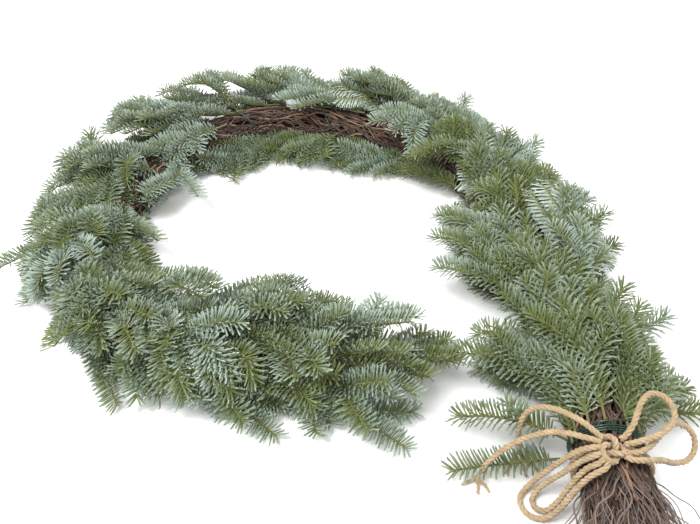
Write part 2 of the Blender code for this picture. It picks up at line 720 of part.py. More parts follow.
def add_side_shoots(branch, space, draw):
    # Side shoots leave the main shoot in its flat plane, by turns on each hand.
    main = branch.points
    shown = SIDE_PLACES if abs(branch.degrees) < 90 else SIDE_PLACES[:2]
    for hand, fork in shown:
        root = int(len(main) * fork)
        heading = unit(main[root + 1] - main[root - 1])
        across = branch.flat_side(heading) * hand
        best, best_room = None, -1.0
        for attempt in range(TRIES):
            angle = math.radians(draw.uniform(*SIDE_ANGLE))
            if hand > 0 and branch.s > CLOSE_SIDE and branch.degrees > 50:
                angle *= CLOSE_ANGLE
            length = draw.uniform(*SIDE_LENGTH) * (1.0 - 0.25 * attempt / TRIES) * (1.25 - 0.55 * fork)
            lift = draw.uniform(-0.10, 0.16)
            points = side_route(main[root], heading, across, angle, length, lift)
            room = path_room(space, points, 3, [(branch.shoot_owner(0), root - 6, root + 6)])
            if room > best_room:
                best, best_room = points, room
            if room > EASY_ROOM:
                break
        if best_room < LEAST_ROOM:
            continue
        branch.sides.append((root, hand, best))
        owner = branch.shoot_owner(len(branch.sides))
        for start in range(1, len(best) - 1, 3):
            end = min(start + 3, len(best) - 1)
            space.add(best[start], best[end], SHOOT_RADIUS, SHOOT_RADIUS, owner, start)


def side_route(root, heading, across, angle, length, lift):
    points = [root]
    run = 0.0
    while run < length:
        share = run / length
        turn = angle * (1.0 - 0.35 * share)
        way = unit(heading * math.cos(turn) + across * math.sin(turn) + np.array([0.0, 0.0, lift]))
        place = points[-1] + way * 0.005
        place[2] = max(place[2], LOWEST_TWIG)
        points.append(place)
        run += 0.005
    return points


class Shoot:
    # A three-sided twig with rings of needles that are drawn out of its own faces.
    def __init__(self, bm, route, first, space, draw, owner):
        self.bm = bm
        self.route = route
        self.first = first
        self.space = space
        self.draw = draw
        self.owner = owner
        self.gaps = []

    def ring(self, distance, radius, phase):
        heading = self.route.heading(distance)
        self.normal = turn_frame(self.normal, heading, heading)
        across = np.cross(heading, self.normal)
        middle = self.route.at(distance)
        verts = []
        for side in range(3):
            angle = phase + math.tau * side / 3
            offset = radius * (math.cos(angle) * self.normal + math.sin(angle) * across)
            verts.append(self.bm.verts.new(middle + offset))
        return verts

    def grow(self, low, normal, phase):
        # Rings of needles follow each other up to the tip.
        self.normal = normal
        room = self.route.length - self.first - 0.012
        whorls = max(2, round(room / WHORL_PITCH))
        pitch = room / whorls
        for whorl in range(whorls):
            distance = self.first + pitch * whorl
            share = whorl / whorls
            radius = SHOOT_RADIUS * (1.0 - 0.25 * share)
            phase += math.radians(30 if whorl else 60)
            ring = self.ring(distance, radius, phase)
            self.gaps.append(self.twig_faces(low, ring))
            phase += math.radians(60)
            high = self.ring(distance + NEEDLE_BAND, radius, phase)
            for corners in self.twig_faces(ring, high):
                self.needle(corners, distance, share, 1000 + whorl)
            low = high
        tip = self.bm.verts.new(self.route.at(self.route.length))
        for side in range(3):
            self.bm.faces.new((low[side], low[(side + 1) % 3], tip))

    def twig_faces(self, low, high):
        faces = []
        for side in range(3):
            after = (side + 1) % 3
            faces.append((low[side], low[after], high[side]))
            faces.append((low[after], high[after], high[side]))
        return faces

    def needle(self, corners, distance, share, place):
        # One face of the twig drawn out to a point, where there is room for it.
        heading = self.route.heading(distance)
        axis = self.route.at(distance + NEEDLE_BAND / 2)
        root = sum(np.array(vert.co) for vert in corners) / 3
        out = root - axis
        out = unit(out - heading * (out @ heading))
        down = max(0.0, -out[2])
        for attempt in range(7):
            sweep = math.radians(NEEDLE_SWEEP - 14 * share - 12 * down + self.draw.uniform(-8, 8))
            length = NEEDLE_LENGTH * self.draw.uniform(0.88, 1.08) * (1.0 - 0.22 * down - 0.10 * share)
            length *= 1.0 - 0.08 * attempt
            side = np.cross(heading, out) * self.draw.uniform(-0.20, 0.20)
            way = unit(heading * math.cos(sweep) + unit(out + side) * math.sin(sweep)
                       + np.array([0.0, 0.0, 0.18 + 0.25 * down]))
            tip = root + way * length
            tip[2] = max(tip[2], 0.0006)
            start = root + way * 0.0028
            room = self.space.room(start, tip, 0.0013, 0.00015,
                                   [(self.owner, 0, 999), (self.owner, place, place)])
            if room > 0.0003:
                point = self.bm.verts.new(tip)
                for side in range(3):
                    self.bm.faces.new((corners[side], corners[(side + 1) % 3], point))
                self.space.add(root, tip, 0.0017, 0.00015, self.owner, place)
                return
        self.bm.faces.new(corners)


def make_branch(branch, space, draw):
    bm = bmesh.new()
    route = Route(branch.points[::2] + [branch.points[-1]], 3)
    shoot = Shoot(bm, route, BARE_STEM, space, draw, branch.shoot_owner(0))
    heading = route.heading(0.0)
    inwards = core_frame(branch.s - STEM_BEHIND)[0] - branch.points[0]
    shoot.normal = turn_frame(inwards, heading, heading)
    butt = shoot.ring(0.0, STEM_RADIUS, 0.0)
    bm.faces.new(butt[::-1])
    turned = math.radians(STEM_TURN)
    lift_off = shoot.ring(STEM_BEHIND + 0.007, STEM_RADIUS, turned)
    join_rings(bm, butt, lift_off)
    shoot.grow(lift_off, shoot.normal, turned)
    faces = [corners for gap in shoot.gaps for corners in gap]
    used = set()
    for number, (root, hand, points) in enumerate(branch.sides):
        way = unit(points[3] - points[0])
        start = points[0]
        free = [place for place in range(len(faces)) if place not in used]
        best = min(free, key=lambda place: fork_cost(faces[place], start, way))
        used.add(best)
        corners = faces[best]
        centre = sum(np.array(vert.co) for vert in corners) / 3
        side_points = [centre] + points[2:]
        side = Shoot(bm, Route(side_points[::2] + [side_points[-1]], 3), 0.016, space, draw,
                     branch.shoot_owner(number + 1))
        aim = side.route.heading(0.006)
        normal = turn_frame(np.array(corners[0].co) - centre, aim, aim)
        side.normal = normal
        collar = side.ring(0.009, SHOOT_RADIUS, 0.0)
        join_rings(bm, corners, collar)
        side.grow(collar, side.normal, 0.0)
        for gap in side.gaps:
            for plain in gap:
                bm.faces.new(plain)
    for index, corners in enumerate(faces):
        if index not in used:
            bm.faces.new(corners)
    return bm


def fork_cost(corners, start, way):
    places = [np.array(vert.co) for vert in corners]
    centre = sum(places) / 3
    facing = unit(np.cross(places[1] - places[0], places[2] - places[0]))
    return np.linalg.norm(centre - start) * 40 - facing @ way


def main():
    for old in list(bpy.data.objects):
        bpy.data.objects.remove(old)
    draw = random.Random(SEED)
    space = Space()
    bark = new_material("vine bark", (0.105, 0.062, 0.045), 0.85)
    jute = new_material("jute", (0.56, 0.37, 0.19), 0.9)
    wire = new_material("green wire", (0.02, 0.10, 0.06), 0.35)
    fir = new_material("fir needles", (0.16, 0.24, 0.17), 0.55)

    core = make_core(space, draw)
    line = wire_points()
    space.add_line(line, WIRE_RADIUS, WIRE_OWNER)
    wrap = wrap_points()
    space.add_line(wrap, ROPE_RADIUS, ROPE_OWNER)
    knot = knot_points()
    space.add_line(knot + knot[:1], ROPE_RADIUS, ROPE_OWNER)
    core.normal_update()
    skin = BVHTree.FromBMesh(core)
    add_mesh("vine_core", core, bark)
    add_mesh("binding_wire", tube_mesh(line, [WIRE_RADIUS] * len(line), 3), wire)
    rope_curve("rope_wrap", wrap, jute, roundness=1)
    rope_curve("rope_knot", knot, jute, roundness=1, closed=True)
    ropes = {}
    for name, points in ROPE_ROUTES.items():
        spaced = rope_line(points, space, name.startswith("bow"))
        ropes[name] = Route(spaced)
        space.add_line(spaced, ROPE_RADIUS, ROPE_OWNER)
        rope_curve(name, spaced, jute)
    for name, (tail, ends) in PLY_ENDS.items():
        route = ropes[tail]
        ends = [np.array(end) for end in ends]
        root = route.at(route.length)
        for end in ends:
            space.add(root, end, 0.0025, 0.002, ROPE_OWNER)
        add_mesh(name, ply_mesh(root, route.heading(route.length), ends), jute)

    branches = place_branches(space, skin, draw)
    for branch in branches:
        add_side_shoots(branch, space, draw)
    for number, branch in enumerate(branches, 1):
        add_mesh(f"fir_branch_{number:02d}", make_branch(branch, space, draw), fir)


main()
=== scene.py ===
import json
import math
import random

import bmesh
import bpy
import numpy as np
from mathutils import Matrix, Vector

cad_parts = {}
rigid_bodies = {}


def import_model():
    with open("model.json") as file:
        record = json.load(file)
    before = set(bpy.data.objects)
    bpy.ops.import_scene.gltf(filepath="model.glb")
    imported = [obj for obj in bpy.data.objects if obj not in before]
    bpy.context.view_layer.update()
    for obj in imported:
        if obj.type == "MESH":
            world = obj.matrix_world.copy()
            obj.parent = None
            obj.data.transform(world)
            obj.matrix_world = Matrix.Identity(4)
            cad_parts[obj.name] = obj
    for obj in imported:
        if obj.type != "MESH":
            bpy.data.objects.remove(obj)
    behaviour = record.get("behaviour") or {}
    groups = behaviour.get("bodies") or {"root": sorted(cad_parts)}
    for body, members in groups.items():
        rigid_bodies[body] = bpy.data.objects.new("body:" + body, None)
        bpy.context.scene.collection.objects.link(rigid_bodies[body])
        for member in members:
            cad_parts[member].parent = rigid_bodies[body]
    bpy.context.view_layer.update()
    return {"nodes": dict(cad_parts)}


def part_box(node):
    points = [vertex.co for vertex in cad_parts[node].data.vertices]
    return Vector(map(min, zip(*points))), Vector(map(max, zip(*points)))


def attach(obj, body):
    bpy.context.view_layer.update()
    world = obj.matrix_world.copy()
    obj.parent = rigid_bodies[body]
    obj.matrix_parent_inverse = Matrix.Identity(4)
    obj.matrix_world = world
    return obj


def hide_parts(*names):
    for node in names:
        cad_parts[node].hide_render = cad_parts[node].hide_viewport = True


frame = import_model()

# Noble fir garland, in metres: a hook of twisted vine stems with fir wired all along it and a jute bow.

view = {
    "place": (0.033, -0.647, 0.609),
    "tilt": 48.0,             # degrees from straight down
    "lens": 32.914,
    "sensor": 36.0,
}


# Small tools for lines.

upright = np.array([0.0, 0.0, 1.0])


def unit(vector):
    return vector / np.linalg.norm(vector)


def units(rows):
    return rows / np.linalg.norm(rows, axis=1)[:, None]


def runAlong(points):
    # Length along a line up to each of its points.
    hops = np.linalg.norm(np.diff(points, axis=0), axis=1)
    return np.concatenate([[0.0], np.cumsum(hops)])


def swung(angle, first, second):
    # The direction at an angle from the first towards the second.
    return math.cos(angle) * first + math.sin(angle) * second


def linked(name, data):
    made = bpy.data.objects.new(name, data)
    bpy.context.scene.collection.objects.link(made)
    return made


def ease(value):
    value = min(max(value, 0.0), 1.0)
    return value * value * (3.0 - 2.0 * value)


class Route:
    # A smooth line through points, read by the length along it.
    def __init__(self, points, steps=10):
        points = [np.array(point, dtype=float) for point in points]
        points = [2 * points[0] - points[1]] + points + [2 * points[-1] - points[-2]]
        line = []
        for a, b, c, d in zip(points, points[1:], points[2:], points[3:]):
            for step in range(steps):
                t = step / steps
                line.append(0.5 * (2 * b + (c - a) * t + (2 * a - 5 * b + 4 * c - d) * t ** 2
                                   + (3 * b - a - 3 * c + d) * t ** 3))
        line.append(points[-2])
        self.line = np.array(line)
        self.reach = runAlong(self.line)
        self.length = float(self.reach[-1])

    def at(self, distance):
        return np.array([np.interp(distance, self.reach, axis) for axis in self.line.T])

    def heading(self, distance):
        before = self.at(max(distance - 0.002, 0.0))
        after = self.at(min(distance + 0.002, self.length))
        return unit(after - before)

    def spaced(self, step):
        count = max(2, round(self.length / step))
        return np.array([self.at(self.length * index / count) for index in range(count + 1)])


def framesAlong(points):
    # Heading and two directions across it at each point, carried along without twist.
    headings = units(np.gradient(points, axis=0))
    across = np.zeros_like(points)
    normal = np.array([0.11, 0.07, 1.0])
    for index, heading in enumerate(headings):
        normal = normal - heading * (normal @ heading)
        if np.linalg.norm(normal) < 1e-6:
            normal = np.cross(heading, [1.0, 0.3, 0.2])
        normal = unit(normal)
        across[index] = normal
    return headings, across, np.cross(headings, across)


# Node trees.

class Flow:
    # A socket that can be reckoned with: an expression on values adds its Math nodes.
    def __init__(self, tree, socket):
        self.tree = tree
        self.socket = socket

    def math(self, operation, *others):
        return self.tree.node("ShaderNodeMath", {"operation": operation}, dict(enumerate([self, *others])))

    def swapped(self, operation, other):
        return self.tree.node("ShaderNodeMath", {"operation": operation}, {0: other, 1: self})

    def __add__(self, other):
        return self.math("ADD", other)

    def __radd__(self, other):
        return self.swapped("ADD", other)

    def __sub__(self, other):
        return self.math("SUBTRACT", other)

    def __rsub__(self, other):
        return self.swapped("SUBTRACT", other)

    def __mul__(self, other):
        return self.math("MULTIPLY", other)

    def __rmul__(self, other):
        return self.swapped("MULTIPLY", other)

    def __pow__(self, other):
        return self.math("POWER", other)

    def clamped(self):
        held = self.math("ADD", 0.0)
        held.socket.node.use_clamp = True
        return held


class Tree:
    def __init__(self, group):
        self.group = group

    def node(self, kind, settings=None, inputs=None, output=0):
        made = self.group.nodes.new(kind)
        for key, value in (settings or {}).items():
            if key == "stops":
                self.setStops(made.color_ramp, value)
            else:
                setattr(made, key, value)
        for key, value in (inputs or {}).items():
            if isinstance(value, Flow):
                self.group.links.new(value.socket, made.inputs[key])
            else:
                made.inputs[key].default_value = value
        return Flow(self, made.outputs[output])

    def also(self, flow, output):
        return Flow(self, flow.socket.node.outputs[output])

    def setStops(self, ramp, stops):
        while len(ramp.elements) < len(stops):
            ramp.elements.new(0.5)
        for element, (place, colour) in zip(ramp.elements, stops):
            element.position = place
            element.color = (*colour, 1.0)

    def vector(self, operation, first, second):
        return self.node("ShaderNodeVectorMath", {"operation": operation}, {0: first, 1: second})

    def scaled(self, vector, factor):
        return self.node("ShaderNodeVectorMath", {"operation": "SCALE"}, {0: vector, "Scale": factor})

    def place(self):
        # Coordinates in the piece's own space.
        return self.node("ShaderNodeTexCoord", output=3)

    def noise(self, vector, scale, detail=2.0, roughness=0.5):
        inputs = {"Vector": vector, "Scale": scale, "Detail": detail, "Roughness": roughness}
        return self.node("ShaderNodeTexNoise", None, inputs)

    def carried(self, name):
        # A number that the mesh carries at its points or faces.
        return self.node("ShaderNodeAttribute", {"attribute_name": name}, {}, 2)

    def mixed(self, factor, first, second):
        settings = {"data_type": "RGBA", "clamp_factor": True}
        colours = [value if isinstance(value, Flow) else (*value, 1.0) for value in (first, second)]
        return self.node("ShaderNodeMix", settings, {0: factor, 6: colours[0], 7: colours[1]}, 2)


class GeometryTree(Tree):
    # A Geometry Nodes group with named inputs, used through a modifier that is applied at once.
    def __init__(self, name, inputs):
        super().__init__(bpy.data.node_groups.new(name, "GeometryNodeTree"))
        face = self.group.interface
        face.new_socket("Geometry", in_out="INPUT", socket_type="NodeSocketGeometry")
        for label, kind in inputs.items():
            face.new_socket(label, in_out="INPUT", socket_type=kind)
        face.new_socket("Geometry", in_out="OUTPUT", socket_type="NodeSocketGeometry")
        self.entry = self.group.nodes.new("NodeGroupInput")

    def given(self, label):
        return Flow(self, self.entry.outputs[label])

    def attribute(self, name, kind="FLOAT"):
        return self.node("GeometryNodeInputNamedAttribute", {"data_type": kind}, {"Name": name})

    def chance(self, low, high, salt):
        seed = self.given("Seed") + salt
        inputs = {2: low, 3: high, 7: self.node("GeometryNodeInputIndex"), 8: seed}
        return self.node("FunctionNodeRandomValue", {"data_type": "FLOAT"}, inputs, 1)

    def swung(self, angle, first, second):
        # The direction at an angle from the first towards the second.
        return self.vector("ADD", self.scaled(first, angle.math("COSINE")),
                           self.scaled(second, angle.math("SINE")))

    def painted(self, geometry, label):
        return self.node("GeometryNodeSetMaterial", None, {0: geometry, "Material": self.given(label)})

    def tubes(self, curve, sides):
        # Round tubes along a curve, as thick as each point says.
        ring = self.node("GeometryNodeCurvePrimitiveCircle", None, {"Resolution": sides, "Radius": 1.0})
        made = self.node("GeometryNodeCurveToMesh", None, {
            "Curve": curve, "Profile Curve": ring, "Scale": self.attribute("thick"), "Fill Caps": True})
        return self.node("GeometryNodeSetShadeSmooth", None, {0: made})

    def finish(self, geometry):
        leave = self.group.nodes.new("NodeGroupOutput")
        self.group.links.new(geometry.socket, leave.inputs[0])

    def applied(self, name, mesh, values):
        # Runs the tree on a mesh and returns the result as a plain object.
        source = linked(name + "Source", mesh)
        modifier = source.modifiers.new("grow", "NODES")
        modifier.node_group = self.group
        for item in self.group.interface.items_tree:
            if item.in_out == "INPUT" and item.name in values:
                modifier[item.identifier] = values[item.name]
        graph = bpy.context.evaluated_depsgraph_get()
        result = bpy.data.meshes.new_from_object(source.evaluated_get(graph), preserve_all_data_layers=True,
                                                 depsgraph=graph)
        source.modifiers.remove(modifier)
        bpy.data.objects.remove(source)
        bpy.data.meshes.remove(mesh)
        result.name = name
        return linked(name, result)


class FinishTree(Tree):
    # The node tree of a material, with the inputs of its shader by name.
    def __init__(self, name, roughness):
        self.material = bpy.data.materials.new(name)
        self.material.use_nodes = True
        super().__init__(self.material.node_tree)
        self.shader = self.group.nodes["Principled BSDF"].inputs
        self.shader["Roughness"].default_value = roughness

    def feed(self, flow, name="Base Color"):
        self.group.links.new(flow.socket, self.shader[name])


# Finishes.

needleLook = {
    "olive": (0.074, 0.100, 0.030),
    "green": (0.172, 0.210, 0.098),
    "glaucous": (0.345, 0.425, 0.360),
    "pale": (0.500, 0.580, 0.515),
    "base": (0.205, 0.242, 0.062),
    "roughness": 0.36,
    "twig": ((0.085, 0.075, 0.025), (0.215, 0.215, 0.075)),
}


def needleFinish():
    look = needleLook
    tree = FinishTree("firNeedles", look["roughness"])
    tint, shade, along, under = (tree.carried(name) for name in ("tint", "shade", "along", "under"))
    leafy = tree.mixed(tint, look["olive"], look["green"])
    waxy = (shade * 0.95 + along * 0.85 + tint * 0.42 - 0.78).clamped()
    top = tree.mixed(waxy, leafy, look["glaucous"])
    banded = (0.45 + tint * 0.40).clamped()
    below = tree.mixed(banded, look["glaucous"], look["pale"])
    both = tree.mixed(under, top, below)
    young = ((1.0 - along) * 0.80 + shade * -0.25).clamped()
    tree.feed(tree.mixed(young, both, look["base"]))
    tree.shader["Specular IOR Level"].default_value = 0.42
    return tree.material


def twigFinish():
    tree = FinishTree("firTwigs", 0.7)
    tree.feed(tree.mixed(tree.noise(tree.place(), 420.0), *needleLook["twig"]))
    return tree.material


vineLook = {
    "dark": (0.034, 0.022, 0.018),
    "brown": (0.135, 0.078, 0.055),
    "tan": (0.360, 0.215, 0.125),
    "grey": (0.215, 0.175, 0.155),
    "roughness": 0.82,
}


def vineFinish():
    look = vineLook
    tree = FinishTree("vineBark", look["roughness"])
    shade, grey = tree.carried("shade"), tree.carried("grey")
    broad = tree.noise(tree.place(), 95.0, 4.0)
    fine = tree.noise(tree.place(), 700.0, 3.0)
    level = (shade + (broad - 0.5) * 0.55).clamped()
    stops = [(0.0, look["dark"]), (0.62, look["brown"]), (1.0, look["tan"])]
    bark = tree.node("ShaderNodeValToRGB", {"stops": stops}, {"Fac": level})
    aged = tree.mixed(grey * (0.45 + broad * 0.5), bark, look["grey"])
    tree.feed(tree.mixed((fine - 0.52).clamped() * 2.2, aged, look["dark"]))
    bump = tree.node("ShaderNodeBump", None, {"Strength": 0.5, "Distance": 0.0006, "Height": fine})
    tree.feed(bump, "Normal")
    return tree.material


juteLook = {
    # shadow is painted shade between the fibres and light a painted highlight on them; with straw they also
    # carry the jute's own uneven tone.
    "shadow": (0.21, 0.135, 0.065),
    "straw": (0.425, 0.305, 0.170),
    "light": (0.630, 0.480, 0.300),
    "roughness": 0.88,
}


def juteFinish():
    look = juteLook
    tree = FinishTree("juteRope", look["roughness"])
    uv = tree.node("ShaderNodeUVMap", {"uv_map": "lay"})
    stretched = tree.vector("MULTIPLY", uv, (7.0, 90.0, 1.0))
    fibre = tree.noise(stretched, 1.0, 5.0, 0.7)
    patch = tree.noise(tree.place(), 130.0)
    level = (fibre * 1.5 + patch * 0.5 - 0.5).clamped()
    # Fibre streaks: the dark end is painted shade between fibres, the pale end a painted highlight, over
    # the jute's own uneven tone.
    stops = [(0.12, look["shadow"]), (0.5, look["straw"]), (0.86, look["light"])]
    tree.feed(tree.node("ShaderNodeValToRGB", {"stops": stops}, {"Fac": level}))
    bump = tree.node("ShaderNodeBump", None, {"Strength": 0.8, "Distance": 0.0007, "Height": fibre})
    tree.feed(bump, "Normal")
    tree.shader["Sheen Weight"].default_value = 0.25
    return tree.material


wireLook = {
    "dark": (0.010, 0.062, 0.040),
    "worn": (0.022, 0.125, 0.085),
    "roughness": 0.32,
    "metallic": 0.35,
}


def wireFinish():
    tree = FinishTree("greenWire", wireLook["roughness"])
    worn = tree.noise(tree.place(), 160.0, 3.0)
    level = ((worn - 0.5) * 3.0).clamped()
    tree.feed(tree.mixed(level, wireLook["dark"], wireLook["worn"]))
    tree.shader["Metallic"].default_value = wireLook["metallic"]
    tree.shader["Coat Weight"].default_value = 0.3
    return tree.material


def floorFinish():
    tree = FinishTree("studioFloor", 0.9)
    tree.feed(tree.mixed(tree.noise(tree.place(), 1.5), (0.93, 0.93, 0.93), (0.95, 0.95, 0.95)))
    return tree.material


# Camera, floor and light.

def makeCamera():
    data = bpy.data.cameras.new("camera")
    data.sensor_width = view["sensor"]
    data.lens = view["lens"]
    camera = linked("camera", data)
    camera.location = view["place"]
    camera.rotation_euler = (math.radians(view["tilt"]), 0.0, 0.0)
    bpy.context.scene.camera = camera


studio = {
    "floor": 12.0,
    "sky": 0.76,
    "lamps": {
        # place, aim, size, watts
        "keyLamp": ((-0.9, -0.7, 2.5), (0.0, 0.0, 0.0), 1.1, 80.0),
        "fillLamp": ((1.7, -1.2, 1.7), (0.1, 0.0, 0.0), 2.0, 14.0),
        "backLamp": ((0.4, 2.0, 1.9), (0.0, 0.1, 0.0), 2.2, 18.0),
    },
}


def makeStudio():
    reach = studio["floor"] / 2
    mesh = bpy.data.meshes.new("floor")
    mesh.from_pydata([(-reach, -reach, 0), (reach, -reach, 0), (reach, reach, 0), (-reach, reach, 0)], [],
                     [(0, 1, 2, 3)])
    mesh.materials.append(floorFinish())
    floor = linked("floor", mesh)
    world = bpy.data.worlds.new("studio")
    world.use_nodes = True
    sky = world.node_tree.nodes["Background"].inputs
    sky["Color"].default_value = (1.0, 1.0, 1.0, 1.0)
    sky["Strength"].default_value = studio["sky"]
    bpy.context.scene.world = world
    bpy.context.scene.view_settings.view_transform = "Standard"
    for name, (place, aim, size, watts) in studio["lamps"].items():
        data = bpy.data.lights.new(name, "AREA")
        data.size = size
        data.energy = watts
        lamp = linked(name, data)
        lamp.location = place
        lamp.rotation_euler = (Vector(aim) - Vector(place)).to_track_quat("-Z", "Y").to_euler()


# Jute rope.

rope = {
    "radius": 0.003,
    "plyRadius": 0.00164,
    "plyOffset": 0.00142,
    "lay": 0.0165,            # length of one full twist
    "step": 0.0013,
    "sides": 8,
    "fibres": 420,            # loose fibres per metre
    "fibreLength": (0.0012, 0.0034),
    "fibreRadii": (0.00011, 0.00009, 0.00004),
    "fibreSunk": 0.0005,      # depth of a fibre's root under the rope's surface
    "floorGap": 0.0002,
    "seed": 31,
}
frayed = {
    "behind": 0.006,          # the plies start inside the rope and leave it just past its end
    "past": 0.005,
    "step": 0.0016,
    "hairs": 26,              # for each ply
    "hairOut": 0.0012,
    "hairLength": (0.002, 0.0045),
    "hairRadii": (0.00013, 0.0001, 0.00004),
}
# Points of each rope from the knot outwards.
ropeRoutes = {
    "rope_tail_a": [
        (0.264, -0.309, 0.089), (0.255, -0.301, 0.092), (0.245, -0.292, 0.092), (0.234, -0.282, 0.088),
        (0.223, -0.274, 0.081), (0.213, -0.270, 0.070), (0.207, -0.272, 0.056), (0.2055, -0.277, 0.041),
        (0.2075, -0.282, 0.027),
    ],
    "rope_tail_b": [
        (0.260, -0.3146, 0.0868), (0.250, -0.3102, 0.0857), (0.240, -0.3033, 0.0807),
        (0.228, -0.297, 0.073), (0.215, -0.294, 0.063), (0.201, -0.293, 0.051), (0.187, -0.295, 0.038),
        (0.175, -0.299, 0.025), (0.166, -0.305, 0.012),
    ],
    "bow_loop_left_outer": [
        (0.259, -0.3215, 0.085), (0.250, -0.3195, 0.078), (0.2425, -0.317, 0.064), (0.236, -0.315, 0.048),
        (0.229, -0.314, 0.032), (0.220, -0.315, 0.017), (0.210, -0.320, 0.007), (0.203, -0.329, 0.004),
        (0.204, -0.340, 0.004), (0.212, -0.3485, 0.004), (0.224, -0.351, 0.008), (0.2345, -0.3485, 0.020),
        (0.242, -0.345, 0.036), (0.2475, -0.3425, 0.054), (0.255, -0.3415, 0.070),
        (0.2665, -0.339, 0.079),
    ],
    "bow_loop_left_inner": [
        (0.2595, -0.3285, 0.083), (0.2515, -0.327, 0.073), (0.2445, -0.325, 0.058),
        (0.238, -0.323, 0.041), (0.230, -0.3215, 0.025), (0.221, -0.3235, 0.012), (0.215, -0.330, 0.006),
        (0.216, -0.3385, 0.005), (0.224, -0.344, 0.008), (0.233, -0.342, 0.019), (0.2395, -0.3385, 0.035),
        (0.245, -0.336, 0.053), (0.252, -0.3345, 0.069), (0.2625, -0.334, 0.080),
    ],
    "bow_loop_right_high": [
        (0.291, -0.311, 0.089), (0.298, -0.304, 0.095), (0.304, -0.294, 0.100), (0.311, -0.283, 0.103),
        (0.322, -0.275, 0.104), (0.334, -0.277, 0.102), (0.340, -0.287, 0.099), (0.338, -0.299, 0.096),
        (0.329, -0.308, 0.094), (0.317, -0.314, 0.092), (0.305, -0.317, 0.090), (0.295, -0.3185, 0.087),
    ],
    "bow_loop_right_low": [
        (0.2945, -0.3258, 0.0823), (0.304, -0.3235, 0.082), (0.315, -0.317, 0.0815),
        (0.326, -0.307, 0.081), (0.337, -0.297, 0.080), (0.349, -0.290, 0.076), (0.362, -0.288, 0.069),
        (0.372, -0.293, 0.059), (0.372, -0.303, 0.049), (0.363, -0.311, 0.044), (0.351, -0.315, 0.047),
        (0.340, -0.320, 0.056), (0.330, -0.324, 0.066), (0.318, -0.329, 0.075), (0.306, -0.332, 0.080),
        (0.293, -0.3325, 0.082),
    ],
}
# The tail that falls apart into each set of plies, and where these end.
plyEnds = {
    "rope_plies_a": (
        "rope_tail_a", [(0.194, -0.301, 0.002), (0.215, -0.304, 0.002), (0.229, -0.298, 0.002)],
    ),
    "rope_plies_b": (
        "rope_tail_b", [(0.148, -0.313, 0.002), (0.162, -0.323, 0.002), (0.174, -0.321, 0.002)],
    ),
}
knot = {
    "place": (0.276, -0.321),
    "radius": 0.0085,
    "rise": 0.0042,
    "steps": 48,
    "ends": 0.62,             # share of the way out from its middle where loops and tails start
}


def tubeBetween(points, across, over, radii, sides, closed=False):
    # Points, faces and UVs of a round tube; v runs along it in metres.
    count = len(points)
    turn = np.linspace(0.0, math.tau, sides, endpoint=False)
    ring = np.cos(turn)[None, :, None] * across[:, None, :] + np.sin(turn)[None, :, None] * over[:, None, :]
    verts = (points[:, None, :] + np.asarray(radii).reshape(-1, 1, 1) * ring).reshape(-1, 3)
    lengths = runAlong(points)
    faces = []
    uvs = []
    for i in range(count if closed else count - 1):
        j = (i + 1) % count
        vLow, vHigh = lengths[i], lengths[j] if j else lengths[i] + (lengths[1] - lengths[0])
        for side in range(sides):
            after = (side + 1) % sides
            faces.append((i * sides + side, i * sides + after, j * sides + after, j * sides + side))
            uLow, uHigh = side / sides, (side + 1) / sides
            uvs.append(((uLow, vLow), (uHigh, vLow), (uHigh, vHigh), (uLow, vHigh)))
    if not closed:
        faces.append(tuple(range(sides))[::-1])
        uvs.append(((0.5, 0.0),) * sides)
        faces.append(tuple((count - 1) * sides + side for side in range(sides)))
        uvs.append(((0.5, lengths[-1]),) * sides)
    return verts, faces, uvs


def meshFrom(name, parts, material):
    # One object of several tubes.
    verts = []
    faces = []
    uvs = []
    base = 0
    for partVerts, partFaces, partUvs in parts:
        verts.append(partVerts)
        faces += [tuple(index + base for index in face) for face in partFaces]
        uvs += partUvs
        base += len(partVerts)
    mesh = bpy.data.meshes.new(name)
    mesh.from_pydata(np.concatenate(verts).tolist(), [], faces)
    layer = mesh.uv_layers.new(name="lay")
    flat = np.array([pair for face in uvs for pair in face], dtype=np.float32)
    layer.data.foreach_set("uv", flat.ravel())
    mesh.polygons.foreach_set("use_smooth", [True] * len(mesh.polygons))
    mesh.materials.append(material)
    return linked(name, mesh)


def twistedRope(name, route, material, draw, closed=False):
    points = route.spaced(rope["step"])
    if closed:
        points = points[:-1]
    headings, across, over = framesAlong(points)
    turns, slip = route.length / rope["lay"], 0.0
    if closed:
        turns = round(turns)      # the plies meet themselves
        back = unit(across[-1] - headings[0] * (across[-1] @ headings[0]))
        slip = math.atan2(back @ over[0], back @ across[0])
    twist = np.linspace(0.0, math.tau * turns - slip, len(points), endpoint=not closed)
    parts = []
    for ply in range(3):
        angle = twist + math.tau * ply / 3
        outwards = np.cos(angle)[:, None] * across + np.sin(angle)[:, None] * over
        line = points + rope["plyOffset"] * outwards
        plyHeadings = units(np.gradient(line, axis=0))
        sideways = units(np.cross(plyHeadings, outwards))
        radii = rope["plyRadius"] * (1.0 + 0.05 * np.sin(np.arange(len(line)) * 0.9 + ply))
        crossed = np.cross(sideways, plyHeadings)
        parts.append(tubeBetween(line, crossed, sideways, radii, rope["sides"], closed))
    parts += looseFibres(points, across, over, headings, route.length, draw)
    return meshFrom(name, parts, material)


def hairTube(line, radii):
    line[:, 2] = np.maximum(line[:, 2], rope["floorGap"])
    _, across, over = framesAlong(line)
    return tubeBetween(line, across, over, radii, 3)


